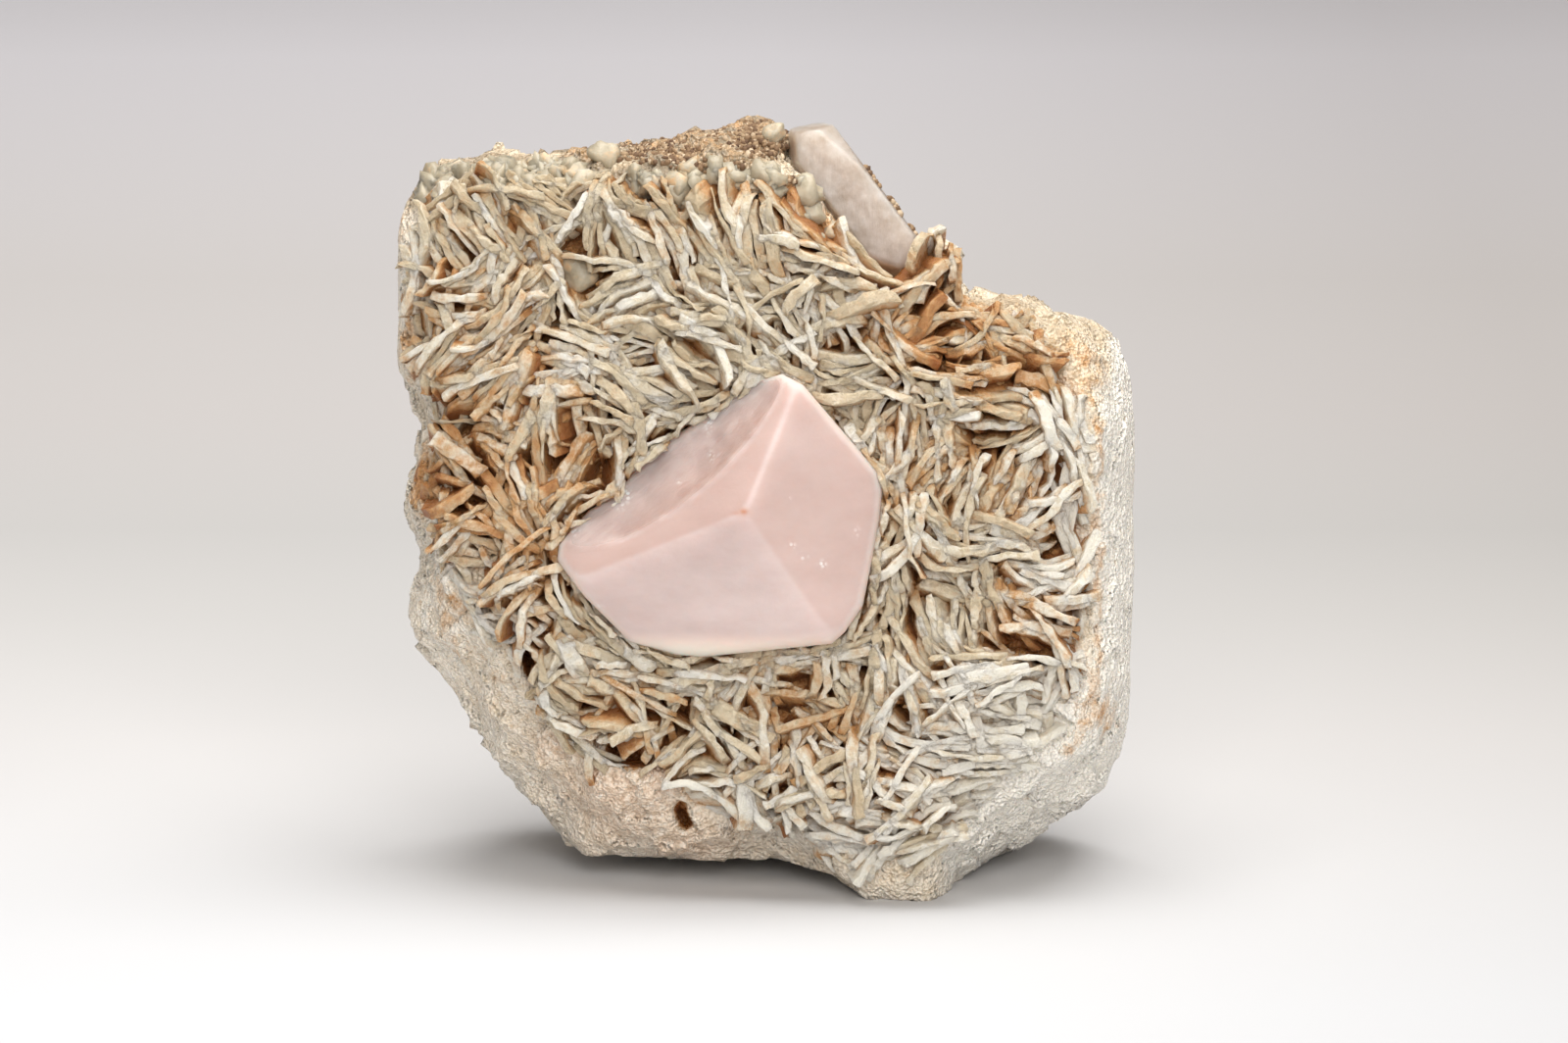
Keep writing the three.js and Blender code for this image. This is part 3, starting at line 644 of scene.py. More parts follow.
def blade_form():
    """The plate that every blade is shaped from: x and y from -1 to 1, z from 0 to 1."""
    bm = bmesh.new()
    bmesh.ops.create_cube(bm, size=1)
    along = [edge for edge in bm.edges if abs(edge.verts[0].co.x - edge.verts[1].co.x) > 0.5]
    bmesh.ops.subdivide_edges(bm, edges=along, cuts=BLADE_CUTS)
    bmesh.ops.translate(bm, vec=(0, 0, 0.5), verts=bm.verts)
    bmesh.ops.scale(bm, vec=BLADE_SIZE, verts=bm.verts)
    rims = [
        edge for edge in bm.edges
        if len(edge.link_faces) == 2 and edge.calc_face_angle() > 1
        and max(vertex.co.z for vertex in edge.verts) > 0.1
    ]
    bmesh.ops.bevel(
        bm, geom=rims, offset=BLADE_BEVEL, offset_type="OFFSET", affect="EDGES", segments=1,
        profile=0.5, material=-1,
    )
    length, thickness, height = BLADE_SIZE
    bmesh.ops.scale(bm, vec=(2 / length, 2 / thickness, 1 / height), verts=bm.verts)
    mesh = bpy.data.meshes.new("blade_form")
    bm.to_mesh(mesh)
    bm.free()
    return mesh


def add_blade(bm, form, foot, edge, up, half_length, rise, bend, clean_from):
    """One plate on edge, thinner at its far end, with an uneven crest that dips at both ends."""
    half_thickness = blade_random.uniform(*BLADE_THICKNESS) / 2
    if blade_random.random() < THICK_SHARE:
        half_thickness *= blade_random.uniform(1.3, 1.9)
    swing = blade_random.gauss(0, 0.06) * half_length
    twist = blade_random.gauss(0, 0.5)
    slope = blade_random.uniform(-0.06, 0.06)
    near_dip, far_dip = blade_random.uniform(0, 0.25), blade_random.uniform(0, 0.35)
    taper = min(0.7, max(0, blade_random.gauss(0.25, 0.25)))
    slant = blade_random.gauss(0, 0.12)
    colour = blade_random.random() + 0.7 * inside(WHITE_BLADES, foot.x, foot.z)
    colour -= 0.8 * inside(GREY_ROCK, foot.x, foot.z)
    uneven = Vector([blade_random.uniform(0, 90) for _ in range(3)])
    stain_here = stain_at(foot.x, foot.z) * blade_random.uniform(0.5, 1.2)
    stain_here += 0.4 * max(0, noise.noise(foot * 0.09))
    in_gaps = 0.5 + 0.5 * fade(front_at(foot.x, foot.z)[1], 0.96, 0.88)
    in_gaps *= (1.1 + 0.8 * stain_here) * (1 - 0.6 * inside(FUSED, foot.x, foot.z))
    across = up.cross(edge)
    first = len(bm.verts)
    bm.from_mesh(form)
    bm.verts.ensure_lookup_table()
    stain, shade = bm.verts.layers.float["stain"], bm.verts.layers.float["shade"]
    grain = bm.verts.layers.float_vector["grain"]
    for vertex in bm.verts[first:]:
        x, y, z = vertex.co
        thick = half_thickness * (1 - taper * (0.5 + 0.5 * x))
        dip = (far_dip if x > 0 else near_dip) * abs(x) ** 3
        height = (rise + BLADE_ROOT) * z * (1 - dip + slope * x)
        at = Vector((
            x * half_length * (0.85 + 0.15 * z) + slant * height,
            y * thick + bend * (x * x - 0.3) + swing * x ** 3 + twist * x * z,
            height - BLADE_ROOT,
        ))
        bent = 0.4 * noise.noise_vector(at * 0.4 + uneven)
        at += bent + 0.5 * noise.noise_vector(at * 1.3 + uneven)
        vertex.co = foot + edge * at.x + across * at.y + up * at.z
        vertex[grain] = at + uneven
        vertex[shade] = colour
        depth = max(0, (clean_from - at.z) / (STAIN_LEVEL + POCKET_DEPTH))
        vertex[stain] = 0.08 + 0.55 * stain_here + in_gaps * depth


def cleavelandite():
    material, tree, shader, place = new_material(
        "cleavelandite",
        {
            "IOR": 1.53, "Subsurface Weight": 0.5, "Subsurface Scale": 0.0015,
            "Subsurface Radius": (1.0, 0.95, 0.85),
        },
    )
    flakes = add_cells(tree, place, 1300.0)["Color"]
    sparks = add_range(tree, flakes, -0.11, 0.11)
    mottle = add_math(tree, "ADD", add_noise(tree, place, 300.0, 8.0, 0.75), sparks)
    own = add_math(tree, "MULTIPLY", add_attribute(tree, "shade"), 0.5)
    shade = add_math(tree, "ADD", own, mottle)
    pale = add_ramp(
        tree, shade, (0.4, (195, 176, 145)), (1.0, (250, 241, 224)), (0.7, (224, 207, 178))
    )
    colour = stained(tree, pale, add_attribute(tree, "stain"), place)
    tree.links.new(colour, shader.inputs["Base Color"])
    tree.links.new(add_range(tree, flakes, *GLINT), shader.inputs["Roughness"])
    ribbed = drawn_out(tree, add_attribute(tree, "grain", "Vector"), (0.25, 2.5, 0.9))
    lower = add_bump(tree, shader, add_noise(tree, ribbed, 1.6, 3.0, 0.6), 0.0006, 0.8)
    sugary = add_bump(tree, shader, add_noise(tree, place, 1100.0, 6.0, 0.75), 0.0008, 0.8, lower)
    add_bump(tree, shader, add_noise(tree, place, 3500.0, 2.0, 0.5), 0.0003, 0.8, sugary)
    return material


def grown_blades():
    """The blades, in four pieces named for their quarter of the face."""
    form = blade_form()
    quarters = {}
    for name in ("upper_left", "upper_right", "lower_left", "lower_right"):
        quarters[name] = bmesh.new()
        for layer in ("stain", "shade"):
            quarters[name].verts.layers.float.new(layer)
        quarters[name].verts.layers.float_vector.new("grain")
    for column in SPRAY_COLUMNS:
        for row in SPRAY_ROWS:
            x = (column + 0.5 * (row % 2) + blade_random.uniform(*SPRAY_JITTER)) * SPRAY_PITCH
            z = (row + blade_random.uniform(*SPRAY_JITTER)) * SPRAY_PITCH * 0.9
            if inside(BARE, x, z) <= 0.4 and not taken(x, z):
                add_spray(quarters[quarter_of(x, z)], form, x, z)
    for x, z, degrees in beside_morganite() + NOTCH_SPRAY:
        edge = along_face(degrees + blade_random.gauss(0, 9))
        half_length = blade_random.uniform(*COLLAR_HALF_LENGTH)
        rise = blade_random.uniform(*COLLAR_RISE)
        stand_blade(
            quarters[quarter_of(x, z)], form, Vector((x, 0, z)), edge, blade_random.gauss(0, 0.08),
            half_length, rise, blade_random.gauss(0, 0.08),
        )
    bpy.data.meshes.remove(form)
    return quarters


def quarter_of(x, z):
    return ("lower_" if z < QUARTER_Z else "upper_") + ("left" if x < QUARTER_X else "right")


def along_face(degrees):
    """The direction in the plane of the face that is turned so far up from the x axis."""
    turn = math.radians(degrees)
    return Vector((math.cos(turn), 0, math.sin(turn)))


def beside_morganite():
    """Places all round the morganite, close against its side, and the side's direction there."""
    places = []
    for (x1, z1), (x2, z2) in sides(MORGANITE_OUTLINE):
        length = math.hypot(x2 - x1, z2 - z1)
        out_x, out_z = COLLAR_GAP * (z1 - z2) / length, COLLAR_GAP * (x2 - x1) / length
        degrees = math.degrees(math.atan2(z2 - z1, x2 - x1))
        steps = max(1, round(length / COLLAR_STEP))
        for step in range(steps):
            part = (step + 0.5) / steps
            places.append((x1 + part * (x2 - x1) + out_x, z1 + part * (z2 - z1) + out_z, degrees))
    return places


def add_spray(bm, form, x, z):
    """A fan of blades: they stand side by side where it begins, and open towards its far end."""
    nearest = min(SPRAYS, key=lambda spray: math.hypot(spray[0] - x, spray[1] - z))
    direction = nearest[2] + blade_random.gauss(0, 9) + blade_random.choice((0, 180))
    if blade_random.random() < CROSSING_SHARE:
        direction += blade_random.uniform(50, 130)
    along = along_face(direction)
    beside = Vector((-along.z, 0, along.x))
    start = Vector((x, 0, z)) - along * SPRAY_REACH
    tipped = blade_random.gauss(0, 0.2)
    spray_rise = blade_random.uniform(*SPRAY_RISE)
    curve = blade_random.gauss(0, 0.12)
    count = blade_random.randint(*BLADES_IN_SPRAY)
    for number in range(count + LOW_BLADES):
        place = number - (count - 1) / 2
        turned = direction + FAN_DEGREES * place + blade_random.gauss(0, 4)
        rise = spray_rise + blade_random.gauss(0, UNEVEN_RISE)
        if number >= count:
            place = blade_random.uniform(-3, 3)
            turned, rise = direction + blade_random.gauss(0, 35), rise - LOWER_BY
        half_length = blade_random.uniform(*BLADE_LENGTH) / 2
        middle = start + beside * place * BLADE_GAP + along * blade_random.uniform(-1.5, 1.5)
        middle += along_face(turned) * half_length
        tip = tipped + OPENING * place
        for turned_more in (0, 25, -25, 55, -55, 90):
            edge = along_face(turned + turned_more)
            spots = [middle + edge * half_length * part for part in (-1, -0.5, 0, 0.5, 1)]
            if not any(taken(spot.x, spot.z) for spot in spots):
                stand_blade(bm, form, middle, edge, tip, half_length, rise, curve)
                break


def stand_blade(bm, form, middle, edge, tipped, half_length, rise, curve):
    """One blade on the rock at a place, lower where the rock is nearly bare."""
    ground, slope = rock_in_front(middle.x, middle.z)
    if not ground or (ON_FACE @ ground).z < LOWEST_FOOT * MM:
        return
    pocket = pocket_at(middle.x, middle.z)
    up = (Vector((0, -1, 0)) + slope * GROUND_SHARE).normalized()
    up.rotate(Matrix.Rotation(tipped, 3, edge))
    edge = (edge - up * edge.dot(up)).normalized()
    rise *= 0.2 + 0.8 * pocket
    clean_from = 0.3 * STAIN_LEVEL + 0.7 * rise - 6 * (1 - pocket)
    foot = ground + up * POCKET_DEPTH * pocket
    bend = (curve + blade_random.gauss(0, 0.04)) * half_length
    add_blade(bm, form, foot, edge, up, half_length, rise, bend, clean_from)


# The morganite's outline on the face, clockwise from its top: (x, z).
MORGANITE_OUTLINE = [
    (2.4, 75.7), (5.6, 74), (16.8, 61), (17.5, 58.3), (17.1, 54), (15.1, 43.6), (14.5, 40.8),
    (11.8, 36.9), (9.9, 35.2), (-9.7, 33.1), (-13.7, 33.4), (-20.5, 35.5), (-27.2, 42.2),
    (-31.4, 47.7), (-31.2, 50.1), (-26.7, 55.2), (-22.3, 57.7), (-20, 61), (-14.9, 65.9),
    (-7.6, 70.1), (-2.4, 74.3),
]
MORGANITE_MIDDLE = Vector((-6, -24, 53))


def crystal_side(x, up):
    """How far the morganite's side stands from its middle line, towards a place."""
    middle = MORGANITE_MIDDLE
    return outline_ahead(MORGANITE_OUTLINE, middle.x, middle.z, x, up)[0]


def taken(x, z):
    """Whether a place is off the blades' field, or a pit, the morganite or the quartz is there."""
    if in_groove(x, z, 0.8) > 0.2 or front_at(x, z)[1] > field_edge(x, z) or pit_at(x, z) > 3:
        return True
    x, z = x - MORGANITE_MIDDLE.x, z - MORGANITE_MIDDLE.z
    return math.hypot(x, z) < crystal_side(x, z) + 0.1


blade_material = cleavelandite()
for quarter, blades in grown_blades().items():
    sprays = finished(blades, "blades_" + quarter, blade_material, smooth=False)
    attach(sprays, "root")
    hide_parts("albite_matrix")

# ------------------------ the lumps and the crust
# Rounded little crystals of grey-white albite and quartz sit under the top edge, and over the edge
# lies a brown crust of sand grains and iron-stained earth that fell on the pocket's floor.

# The single lumps: (x, z, half width, half height, half depth).
LUMPS = [
    (-28.5, 91, 3.2, 3.4, 2.4), (-24.3, 108.5, 2.3, 2.6, 2.2), (1.4, 112.6, 2.2, 1.6, 2),
    (-20.5, 90.5, 3.6, 1.8, 2), (20.5, 20.5, 1.6, 2.4, 2.4), (6.6, 103.2, 2.2, 2.4, 2.2),
    (8.2, 99.4, 2, 1.8, 2), (10.4, 97, 1.6, 1.6, 1.8), (5, 99, 1.8, 1.6, 1.8),
    (12, 93.5, 1.9, 1.6, 1.8), (8, 95.5, 1.8, 1.5, 1.8),
]
# The lumpy ground: (x, z, half width, half height, how many lumps).
PEBBLED = [(-7.5, 103.5, 15, 4, 60), (-41, 105.5, 14, 4.6, 110)]
PEBBLE_SIZE = (0.9, 2.4)
GRAINS = 5400
GRAIN_SIZE = (0.2, 0.75)
SMALL_CRUST_STEP = 12  # one grain in so many is meant for the small crusts

grit_random = random.Random(5)


def add_stone(bm, middle, sizes, detail, unevenness):
    """One rounded, uneven stone with its colour."""
    made = bmesh.ops.create_icosphere(bm, subdivisions=detail, radius=1)
    turn = Matrix.Rotation(grit_random.uniform(0, math.tau), 3, "Y")
    seed = Vector([grit_random.uniform(0, 90) for _ in range(3)])
    colour = grit_random.random()
    shade = bm.verts.layers.float["shade"]
    for vertex in made["verts"]:
        size = 1 + unevenness * noise.noise(vertex.co * 1.1 + seed)
        vertex.co = middle + turn @ Vector([part * size * by for part, by in zip(vertex.co, sizes)])
        vertex[shade] = colour


def stones():
    bm = bmesh.new()
    bm.verts.layers.float.new("shade")
    return bm


def rock_under(point):
    """The place on the finished block that is nearest to a point."""
    return OFF_FACE @ block_surface.find_nearest(ON_FACE @ point)[0]


def front_rock(x, z):
    return rock_under(Vector((x, front_at(x, z)[0], z)))


def grey_lumps():
    bm = stones()
    for x, z, half_width, half_height, half_depth in LUMPS:
        sizes = (half_width, half_depth, half_height)
        add_stone(bm, front_rock(x, z), sizes, detail=3, unevenness=0.5)
    for middle_x, middle_z, half_width, half_height, count in PEBBLED:
        for _ in range(count):
            turn, out = grit_random.uniform(0, math.tau), math.sqrt(grit_random.random())
            x = middle_x + half_width * out * math.cos(turn)
            z = middle_z + half_height * out * math.sin(turn)
            size = grit_random.uniform(*PEBBLE_SIZE)
            at = front_rock(x, z) + Vector((0, 0.3 * size, 0))
            add_stone(bm, at, (size, size, size * 0.8), detail=2, unevenness=1.1)
    return finished(bm, "grey_lumps", glassy_albite())


def earthy_crust():
    bm = stones()
    for number in range(GRAINS):
        turn, rest = divmod(number, SMALL_CRUST_STEP)
        x, z, half_width, _ = CRUSTS[0 if rest else 1 + turn % 2]
        towards_x = (x + grit_random.uniform(-1.3, 1.3) * half_width) / (z - BLOCK_MIDDLE_Z)
        unit = Vector((towards_x, grit_random.uniform(-1.2, 0.5), 1)).normalized()
        at = rock_under(onto_block(unit))
        if crust_at(at) > grit_random.uniform(0.05, 0.6):
            size = grit_random.triangular(*GRAIN_SIZE, GRAIN_SIZE[0])
            add_stone(bm, at, (size, size * 0.9, size * 0.8), detail=1, unevenness=0.5)
    return finished(bm, "earthy_crust", crust_earth())


def glassy_albite():
    looks = {**ALBITE, "Roughness": 0.4, "Subsurface Weight": 0.4}
    material, tree, shader, place = new_material("glassy_albite", looks)
    mottle = add_noise(tree, place, 220.0, 5.0, 0.6)
    grey = add_ramp(tree, mottle, (0.3, (143, 133, 112)), (0.7, (191, 180, 157)))
    colour = stained(tree, grey, add_range(tree, add_attribute(tree, "shade"), 0.0, 0.25), place)
    tree.links.new(colour, shader.inputs["Base Color"])
    add_bump(tree, shader, add_noise(tree, place, 600.0, 6.0, 0.6), 0.0005, 0.6)
    return material


def crust_earth():
    material, tree, shader, place = new_material("crust_earth", {"Roughness": 0.75})
    colour = add_ramp(
        tree, add_attribute(tree, "shade"), (0.0, (84, 58, 38)), (1.0, (208, 188, 160)),
        (0.4, (122, 94, 66)), (0.8, (158, 130, 98)),
    )
    tree.links.new(colour, shader.inputs["Base Color"])
    add_bump(tree, shader, add_noise(tree, place, 2500.0, 4.0, 0.6), 0.0002, 0.6)
    return material


for grit in (grey_lumps(), earthy_crust()):
    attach(grit, "root")
    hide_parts("albite_matrix")

# ------------------------ the morganite
# Morganite is pink beryl. This crystal is milky and see-through only at its thin edges. Three
# etched, frosted faces meet at its apex, and a glossy shell-shaped break cuts its upper left.
MORGANITE_FLOOR = -14
APEX = Vector((-3.1, -38, 55))
HEEL = Vector((-6, 0, 33.9))

# The faces: (change of depth along x, along z, a point that the face passes through).
RIGHT_FACE = (0.42, 0.08, APEX)
LOWER_FACE = (-0.13, -0.3, APEX)
UPPER_FACE = (-0.42, 0.42, APEX)
HEEL.y = APEX.y + LOWER_FACE[0] * (HEEL.x - APEX.x) + LOWER_FACE[1] * (HEEL.z - APEX.z)
HEEL_FACE = (-0.05, -1.1, HEEL)

# The break is a hollow with the shape of an ellipsoid: half sizes along, into and across it.
BREAK_SIZE = Vector((36, 12, 17.9))
BREAK_MIDDLE = Vector((-20.2, -35.5, 68.8))
BREAK_SLANT = 41  # degrees, from the x axis

SHELL_LUMPS = 1.1  # how high the waves in the break are
VEIL_SLANT = math.radians(35)  # of the faint layers inside the crystal

# White flecks, with painted glints on the break, and rusty spots on the crystal: (x, z, half width,
# half height, strength).
FLECKS_AND_GLINTS = [
    (-21, 57.5, 0.8, 1, 0.9), (-21.8, 55.8, 0.5, 0.5, 0.8), (-29, 52, 0.9, 0.7, 0.7),
    (-8.6, 68.2, 0.4, 1.4, 0.7), (-8.2, 63.4, 0.4, 0.8, 0.6), (3.9, 50, 0.5, 0.4, 0.7),
    (8.5, 47.2, 0.5, 0.5, 0.9), (5.5, 48.3, 0.7, 0.5, 0.5), (-13, 59.5, 0.4, 0.3, 0.6),
    (3.3, 57, 0.4, 0.3, 0.4), (13.6, 52, 0.5, 0.7, 0.4), (-25.5, 40.8, 1.2, 0.4, 0.3),
]
RUST_SPOTS = [(-3.3, 55, 0.7, 0.5, 0.8), (-4.2, 54.8, 0.8, 0.3, 0.4)]

CRYSTAL_DETAIL = 7
EDGE_SHARPNESS = 22
BREAK_SHARPNESS = 60
GLOW_SIDE_WIDTH = 1.3  # how wide the painted glow along the crystal's thin side is
GLOW_FOOT_HEIGHTS = (37.4, 34)  # the height where the painted glow begins at the bottom, and where it is full
SAME_WAY = (0.93, 0.98)  # how alike two directions are from where they count as one face's


def soft_least(reaches, sharpness):
    """The smallest of some distances, rounded off where two of them are nearly alike."""
    least = min(reaches)
    return least * sum((least / reach) ** sharpness for reach in reaches) ** (-1 / sharpness)


def reach_to_face(towards, start, normal, through):
    """How far it is from a start to a face, in one direction."""
    facing = towards.dot(normal)
    return normal.dot(through - start) / facing if facing > 1e-6 else FAR


def break_axes():
    along = along_face(BREAK_SLANT)
    inward = Vector((UPPER_FACE[0], -1, UPPER_FACE[1]))
    inward = (inward - along * inward.dot(along)).normalized()
    return Matrix((along, inward, along.cross(inward)))


def reach_to_break(towards, start, axes):
    """Where a line from inside the crystal enters the hollow of the break."""
    ray, to_start = [
        Vector([part / size for part, size in zip(axes @ line, BREAK_SIZE)])
        for line in (towards, start - BREAK_MIDDLE)
    ]
    half, square = ray.dot(to_start), ray.length_squared
    under_root = half * half - square * (to_start.length_squared - 1)
    if under_root < 0 or half > 0:
        return FAR
    return (-half - math.sqrt(under_root)) / square


def morganite():
    material, tree, shader, place = new_material(
        "morganite",
        {
            "IOR": 1.58, "Transmission Weight": 0.15, "Specular IOR Level": 0.35,
            "Subsurface Weight": 1.0, "Subsurface Radius": (1.0, 0.66, 0.56),
            "Subsurface Scale": 0.006,
        },
    )
    cloud = add_noise(tree, drawn_out(tree, place, (0.6, 1, 1.3), VEIL_SLANT), 90.0, 8.0, 0.65)
    pink = add_ramp(tree, cloud, (0.3, (206, 184, 178)), (0.7, (226, 208, 203)))
    # Painted shade: darker in a band of the break and on the upper and the right faces.
    pink = add_mix(tree, add_attribute(tree, "painted_shade"), pink, tone(192, 156, 142))
    # Painted glow: lighter along the thin side and the bottom edge, as if lit through.
    pink = add_mix(tree, add_attribute(tree, "painted_glow"), pink, tone(255, 230, 215))
    flecks_and_glints = add_attribute(tree, "flecks_and_glints")
    crisp = add_range(tree, add_cells(tree, place, 1500.0)["Distance"], 0.0, 1.0, 0.55, 0.35)
    specks_and_glints = add_math(tree, "MULTIPLY", add_math(tree, "MAXIMUM", flecks_and_glints, 0.0), crisp)
    # White specks: real flecks, and painted glints on the break.
    pink = add_mix(tree, specks_and_glints, pink, tone(255, 250, 247))
    pink = add_mix(tree, add_math(tree, "MULTIPLY", flecks_and_glints, -1.0), pink, tone(196, 128, 84))
    tree.links.new(pink, shader.inputs["Base Color"])
    broken = add_attribute(tree, "broken")
    tree.links.new(add_range(tree, broken, 0.55, 0.12), shader.inputs["Roughness"])
    frost = add_bump(tree, shader, add_noise(tree, place, 700.0, 6.0, 0.7), 0.0002, 0.35)
    drawn = drawn_out(tree, add_attribute(tree, "shell", "Vector"), (0.12, 0.3, 0.6))
    ripples = add_noise(tree, drawn, 1.0, 7.0, 0.7)
    add_bump(tree, shader, add_math(tree, "MULTIPLY", ripples, broken), 0.0012, 0.8, frost)
    return material


def morganite_crystal():
    bm = bmesh.new()
    bmesh.ops.create_icosphere(bm, subdivisions=CRYSTAL_DETAIL, radius=1)
    shell = bm.verts.layers.float_vector.new("shell")
    broken, painted_shade, painted_glow, flecks_and_glints = [
        bm.verts.layers.float.new(name) for name in ("broken", "painted_shade", "painted_glow", "flecks_and_glints")
    ]
    faces = [
        (Vector((slope_x, -1, slope_z)).normalized(), through)
        for slope_x, slope_z, through in (RIGHT_FACE, LOWER_FACE, UPPER_FACE, HEEL_FACE)
    ]
    faces.append((Vector((0, 1, 0)), Vector((0, MORGANITE_FLOOR, 0))))
    right_normal, _, upper_normal = [face[0] for face in faces[:3]]
    axes = break_axes()
    for vertex in bm.verts:
        towards = vertex.co.normalized()
        flat = max(1e-6, math.hypot(towards.x, towards.z))
        reaches = [crystal_side(towards.x, towards.z) / flat]
        reaches += [reach_to_face(towards, MORGANITE_MIDDLE, *face) for face in faces]
        whole = soft_least(reaches, EDGE_SHARPNESS)
        hollow = reach_to_break(towards, MORGANITE_MIDDLE, axes)
        reach = soft_least([whole, hollow], BREAK_SHARPNESS)
        vertex.co = MORGANITE_MIDDLE + towards * reach
        vertex[broken] = fade(whole - hollow, -1, 1)
        vertex[shell] = axes @ (vertex.co - BREAK_MIDDLE)
        lumps = noise.noise(vertex.co * 0.16) + 0.4 * noise.noise(vertex.co * 0.45)
        vertex.co.y += SHELL_LUMPS * lumps * vertex[broken]
        # Painted shade over the break, darker in one band of it.
        vertex[painted_shade] = vertex[broken] * (0.15 + 0.5 * fade(vertex[shell][2], 3, 11))
        # Painted glow along the side and at the bottom edge.
        at_side = fade(reaches[0] - reach, GLOW_SIDE_WIDTH, 0)
        vertex[painted_glow] = max(fade(vertex.co.z, *GLOW_FOOT_HEIGHTS), 0.45 * at_side)
        # Real white flecks, and painted glints on the break.
        vertex[flecks_and_glints] = bump_at(FLECKS_AND_GLINTS, vertex.co.x, vertex.co.z)
        vertex[flecks_and_glints] -= bump_at(RUST_SPOTS, vertex.co.x, vertex.co.z)
    bm.normal_update()
    for vertex in bm.verts:
        # Painted shade on the upper and the right faces.
        upper_face_shade = fade(vertex.normal.dot(upper_normal), *SAME_WAY) * (1 - vertex[broken])
        right = fade(vertex.normal.dot(right_normal), *SAME_WAY)
        vertex[painted_shade] = max(vertex[painted_shade], 0.5 * upper_face_shade, 0.36 * right)
    return finished(bm, "morganite_crystal_dressed", morganite())


crystal = morganite_crystal()
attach(crystal, "root")
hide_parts("morganite_crystal")

# ------------------------ the quartz prism
# The quartz is a milky cream prism that lies against the block's upper right edge, with blunt,
# slightly etched ends.
QUARTZ_MIDDLE = Vector((13.6, -12.5, 102.2))
QUARTZ_SIDE = along_face(37)  # the side that points up and right
QUARTZ_HALF_WIDTH = 4.2
QUARTZ_HALF_DEPTH = 3.4
QUARTZ_ROLLS = (7, 93, 165, 200, 274, 340)  # how far the six sides are turned round from it

# Faces of the ends: (direction in degrees from the x axis, lean towards the front, distance).
QUARTZ_ENDS = [
    (95, 12, 11.8), (49, 30, 6.4), (-176, 15, 9.2), (-110, 18, 8.4), (2, 15, 9.6),
    (128, 40, 15.5), (-52, 36, 14.6), (140, -40, 15.5), (-45, -38, 14.8), (-80, -20, 13.2),
]
QUARTZ_DETAIL = 6
QUARTZ_SHARPNESS = 55

# Where crumbs of earth cling to the prism: (x, z), and how deep.
CRUMB_PLACES = [(16.8, 107.4), (17.6, 106), (20.2, 102.8), (20.8, 102), (23.2, 98.6)]
CRUMB_DEPTH = -13
CRUMBS = 44


def milky_quartz():
    material, tree, shader, place = new_material(
        "milky_quartz",
        {
            "IOR": 1.54, "Transmission Weight": 0.3, "Subsurface Weight": 1.0,
            "Subsurface Radius": (1.0, 0.85, 0.72), "Subsurface Scale": 0.012, "Roughness": 0.35,
        },
    )
    cloud = add_noise(tree, place, 220.0, 6.0, 0.7)
    cream = add_ramp(tree, cloud, (0.3, (168, 149, 130)), (0.7, (220, 209, 200)))
    tree.links.new(cream, shader.inputs["Base Color"])
    lines = drawn_out(tree, place, (1, 1, 0.15), -GROOVE_ANGLE)
    add_bump(tree, shader, add_noise(tree, lines, 900.0, 4.0, 0.6), 0.0002, 0.4)
    return material


def quartz_prism():
    faces = []
    for roll in map(math.radians, QUARTZ_ROLLS):
        outward = QUARTZ_SIDE * math.cos(roll) + Vector((0, -math.sin(roll), 0))
        broad = abs(outward.y) > 0.9
        faces.append((outward, outward * (QUARTZ_HALF_DEPTH if broad else QUARTZ_HALF_WIDTH)))
    for direction, lean, distance in QUARTZ_ENDS:
        outward, lean = along_face(direction), math.radians(lean)
        slanted = outward * math.cos(lean) + Vector((0, -math.sin(lean), 0))
        faces.append((slanted, outward * distance))
    along = Vector((QUARTZ_SIDE.z, 0, -QUARTZ_SIDE.x))
    bm = bmesh.new()
    bmesh.ops.create_icosphere(bm, subdivisions=QUARTZ_DETAIL, radius=1)
    for vertex in bm.verts:
        towards = (vertex.co + along * vertex.co.dot(along) * 1.6).normalized()
        reaches = [reach_to_face(towards, Vector(), *face) for face in faces]
        vertex.co = QUARTZ_MIDDLE + towards * soft_least(reaches, QUARTZ_SHARPNESS)
        vertex.co += 0.04 * noise.noise_vector(vertex.co * 0.7)
    return finished(bm, "quartz_prism", milky_quartz())


def clinging_crumbs(prism):
    """Earth from the crust that clings to the prism's outer edge."""
    surface = surface_of(prism)
    bm = stones()
    for _ in range(CRUMBS):
        x, z = grit_random.choice(CRUMB_PLACES)
        near = Vector((x, CRUMB_DEPTH, z)) + Vector([grit_random.uniform(-1, 1) for _ in range(3)])
        at = OFF_FACE @ surface.find_nearest(ON_FACE @ (near + QUARTZ_SIDE))[0]
        size = grit_random.uniform(*GRAIN_SIZE)
        add_stone(bm, at, (size, size, size), detail=1, unevenness=0.5)
    return finished(bm, "clinging_crumbs", crust_earth())


prism = quartz_prism()
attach(prism, "root")
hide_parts("quartz_crystal")

crumbs = clinging_crumbs(prism)
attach(crumbs, "root")
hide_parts("quartz_crystal")

# ------------------------ the studio
# The specimen stands in the middle of a round pale backdrop under wide soft lights, and a long
# lens looks straight at its leaning face.
FACE_CENTRE = ON_FACE @ Vector((2.7, 0, 53.55))
VIEW_DISTANCE = 1.5
LENS = 225
FLOOR_RADIUS, CURVE_RADIUS, WALL_HEIGHT = 1.9, 0.4, 0.9
WARM_WHITE = (1, 0.985, 0.965)


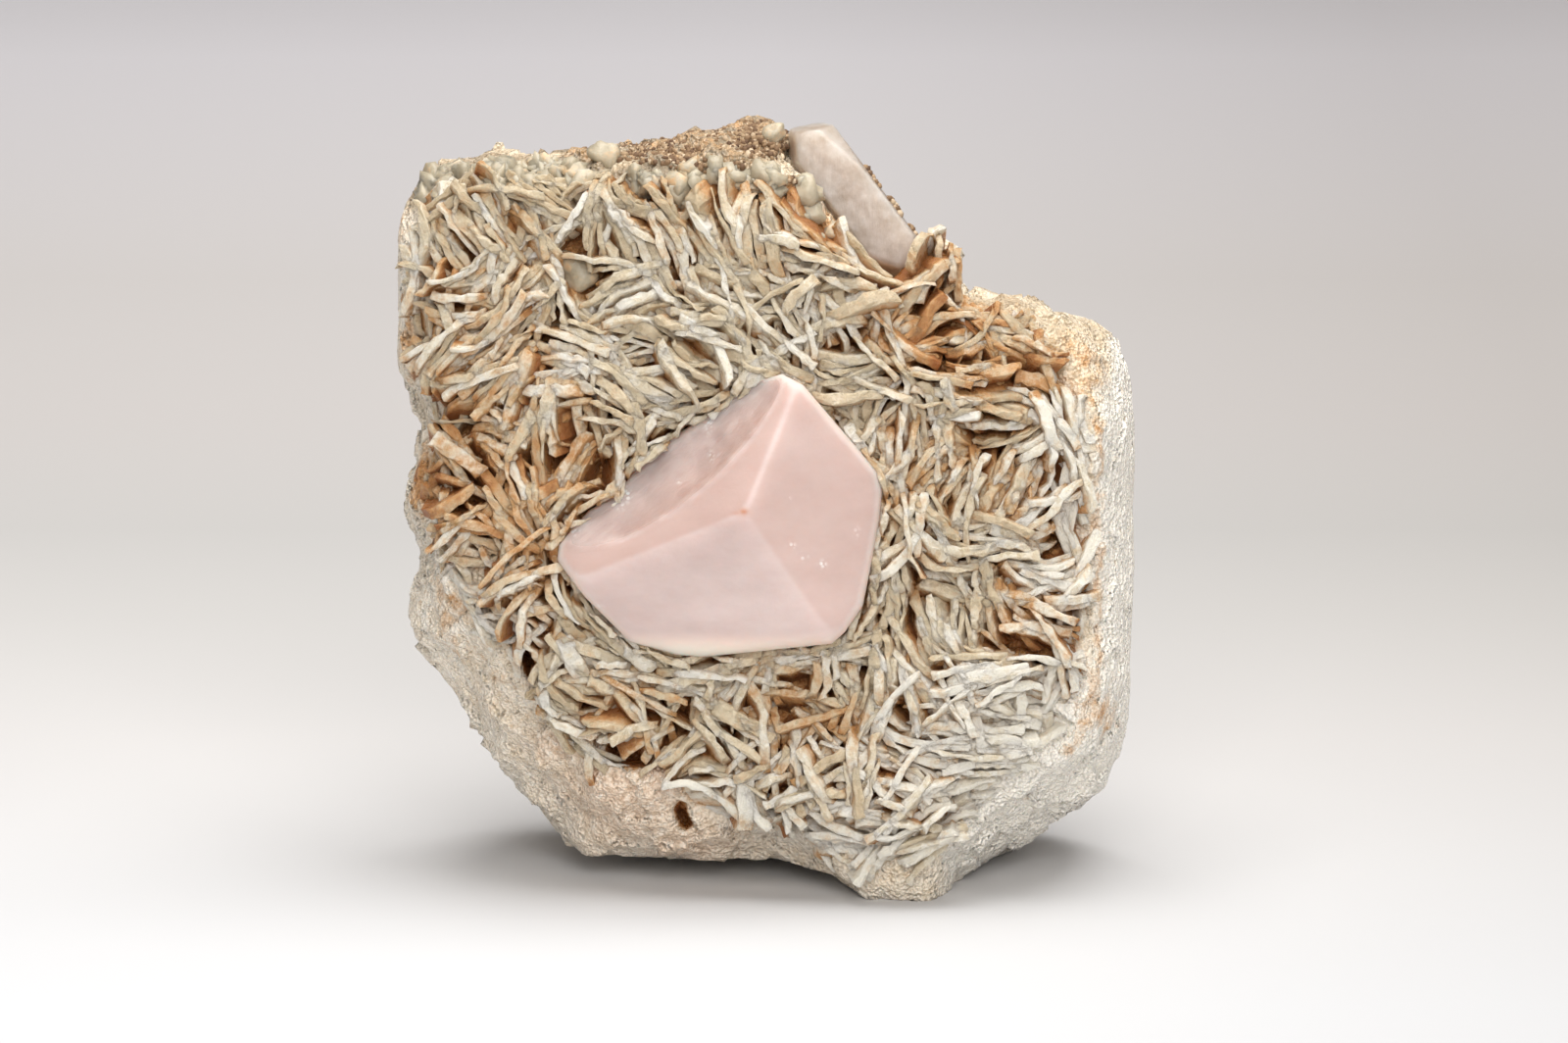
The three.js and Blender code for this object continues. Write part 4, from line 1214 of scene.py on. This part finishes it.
def paper():
    """White near the front, with painted shade that greys it towards the back and the right."""
    looks = {"Roughness": 0.8, "Specular IOR Level": 0.2}
    material, tree, shader, place = new_material("pale_paper", looks)
    parts = add_node(tree, "SeparateXYZ", {"Vector": place}).outputs
    # Painted shade: the paper greys further back.
    painted_falloff = add_range(tree, parts["Y"], 0.0, 1.0, -0.1, 0.9)
    shade = add_ramp(
        tree, painted_falloff, (0.0, (204, 205, 207)), (0.95, (233, 230, 233)),
        (0.18, (199, 197, 196)), (0.28, (191, 189, 187)), (0.36, (186, 184, 182)),
        (0.47, (194, 190, 188)), (0.63, (203, 199, 197)),
    )
    # Painted shade: the paper greys on the right.
    right = add_range(tree, parts["X"], 0.0, 1.0, 0.0, 0.15)
    grey = add_mix(tree, 1.0, shade, tone(236, 235, 234), "MULTIPLY")
    tree.links.new(add_mix(tree, right, shade, grey), shader.inputs["Base Color"])
    return material


def backdrop():
    """A disc of floor that curves up all round into a low wall."""
    bm = bmesh.new()
    middle = bm.verts.new((0, 0, 0))
    bend = bm.verts.new((FLOOR_RADIUS, 0, 0))
    bm.edges.new((middle, bend))
    curve = bmesh.ops.spin(
        bm, geom=[bend], cent=(FLOOR_RADIUS, 0, CURVE_RADIUS), axis=(0, -1, 0),
        angle=math.pi / 2, steps=8, use_merge=False,
    )
    top = next(item for item in curve["geom_last"] if isinstance(item, bmesh.types.BMVert))
    bm.edges.new((top, bm.verts.new((top.co.x, 0, WALL_HEIGHT))))
    bmesh.ops.spin(
        bm, geom=bm.edges[:], cent=(0, 0, 0), axis=(0, 0, 1), angle=math.tau, steps=96,
        use_merge=True,
    )
    bmesh.ops.remove_doubles(bm, verts=bm.verts, dist=1e-5)
    bmesh.ops.recalc_face_normals(bm, faces=bm.faces)
    bm.faces.ensure_lookup_table()
    if bm.faces[0].normal.z < 0:
        bmesh.ops.reverse_faces(bm, faces=bm.faces)
    for face in bm.faces:
        face.smooth = True
    mesh = bpy.data.meshes.new("backdrop")
    bm.to_mesh(mesh)
    bm.free()
    mesh.materials.append(paper())
    piece = bpy.data.objects.new("backdrop", mesh)
    bpy.context.scene.collection.objects.link(piece)
    return piece


backdrop()


def soft_light(name, at, size, power, colour):
    lamp = bpy.data.lights.new(name, "AREA")
    lamp.shape, lamp.size, lamp.energy, lamp.color = "SQUARE", size, power, colour
    light = bpy.data.objects.new(name, lamp)
    light.location = at
    light.rotation_euler = (FACE_CENTRE - Vector(at)).to_track_quat("-Z", "Y").to_euler()
    bpy.context.scene.collection.objects.link(light)


soft_light("overhead_light", (0.07, -0.02, 1.0), size=0.9, power=15, colour=WARM_WHITE)
soft_light("front_light", (0.12, -1.4, 0.75), size=0.9, power=17.5, colour=(1, 0.985, 0.97))

world = bpy.data.worlds.new("studio")
world.use_nodes = True
background = world.node_tree.nodes["Background"].inputs
background["Color"].default_value = (*WARM_WHITE, 1)
background["Strength"].default_value = 0.2
bpy.context.scene.world = world

lens = bpy.data.cameras.new("camera")
lens.lens = LENS
camera = bpy.data.objects.new("camera", lens)
looking = Vector((0, math.cos(LEAN), -math.sin(LEAN)))
camera.location = FACE_CENTRE - looking * VIEW_DISTANCE
camera.rotation_euler = looking.to_track_quat("-Z", "Y").to_euler()
bpy.context.scene.collection.objects.link(camera)
bpy.context.scene.camera = camera
bpy.context.scene.view_settings.view_transform = "Standard"
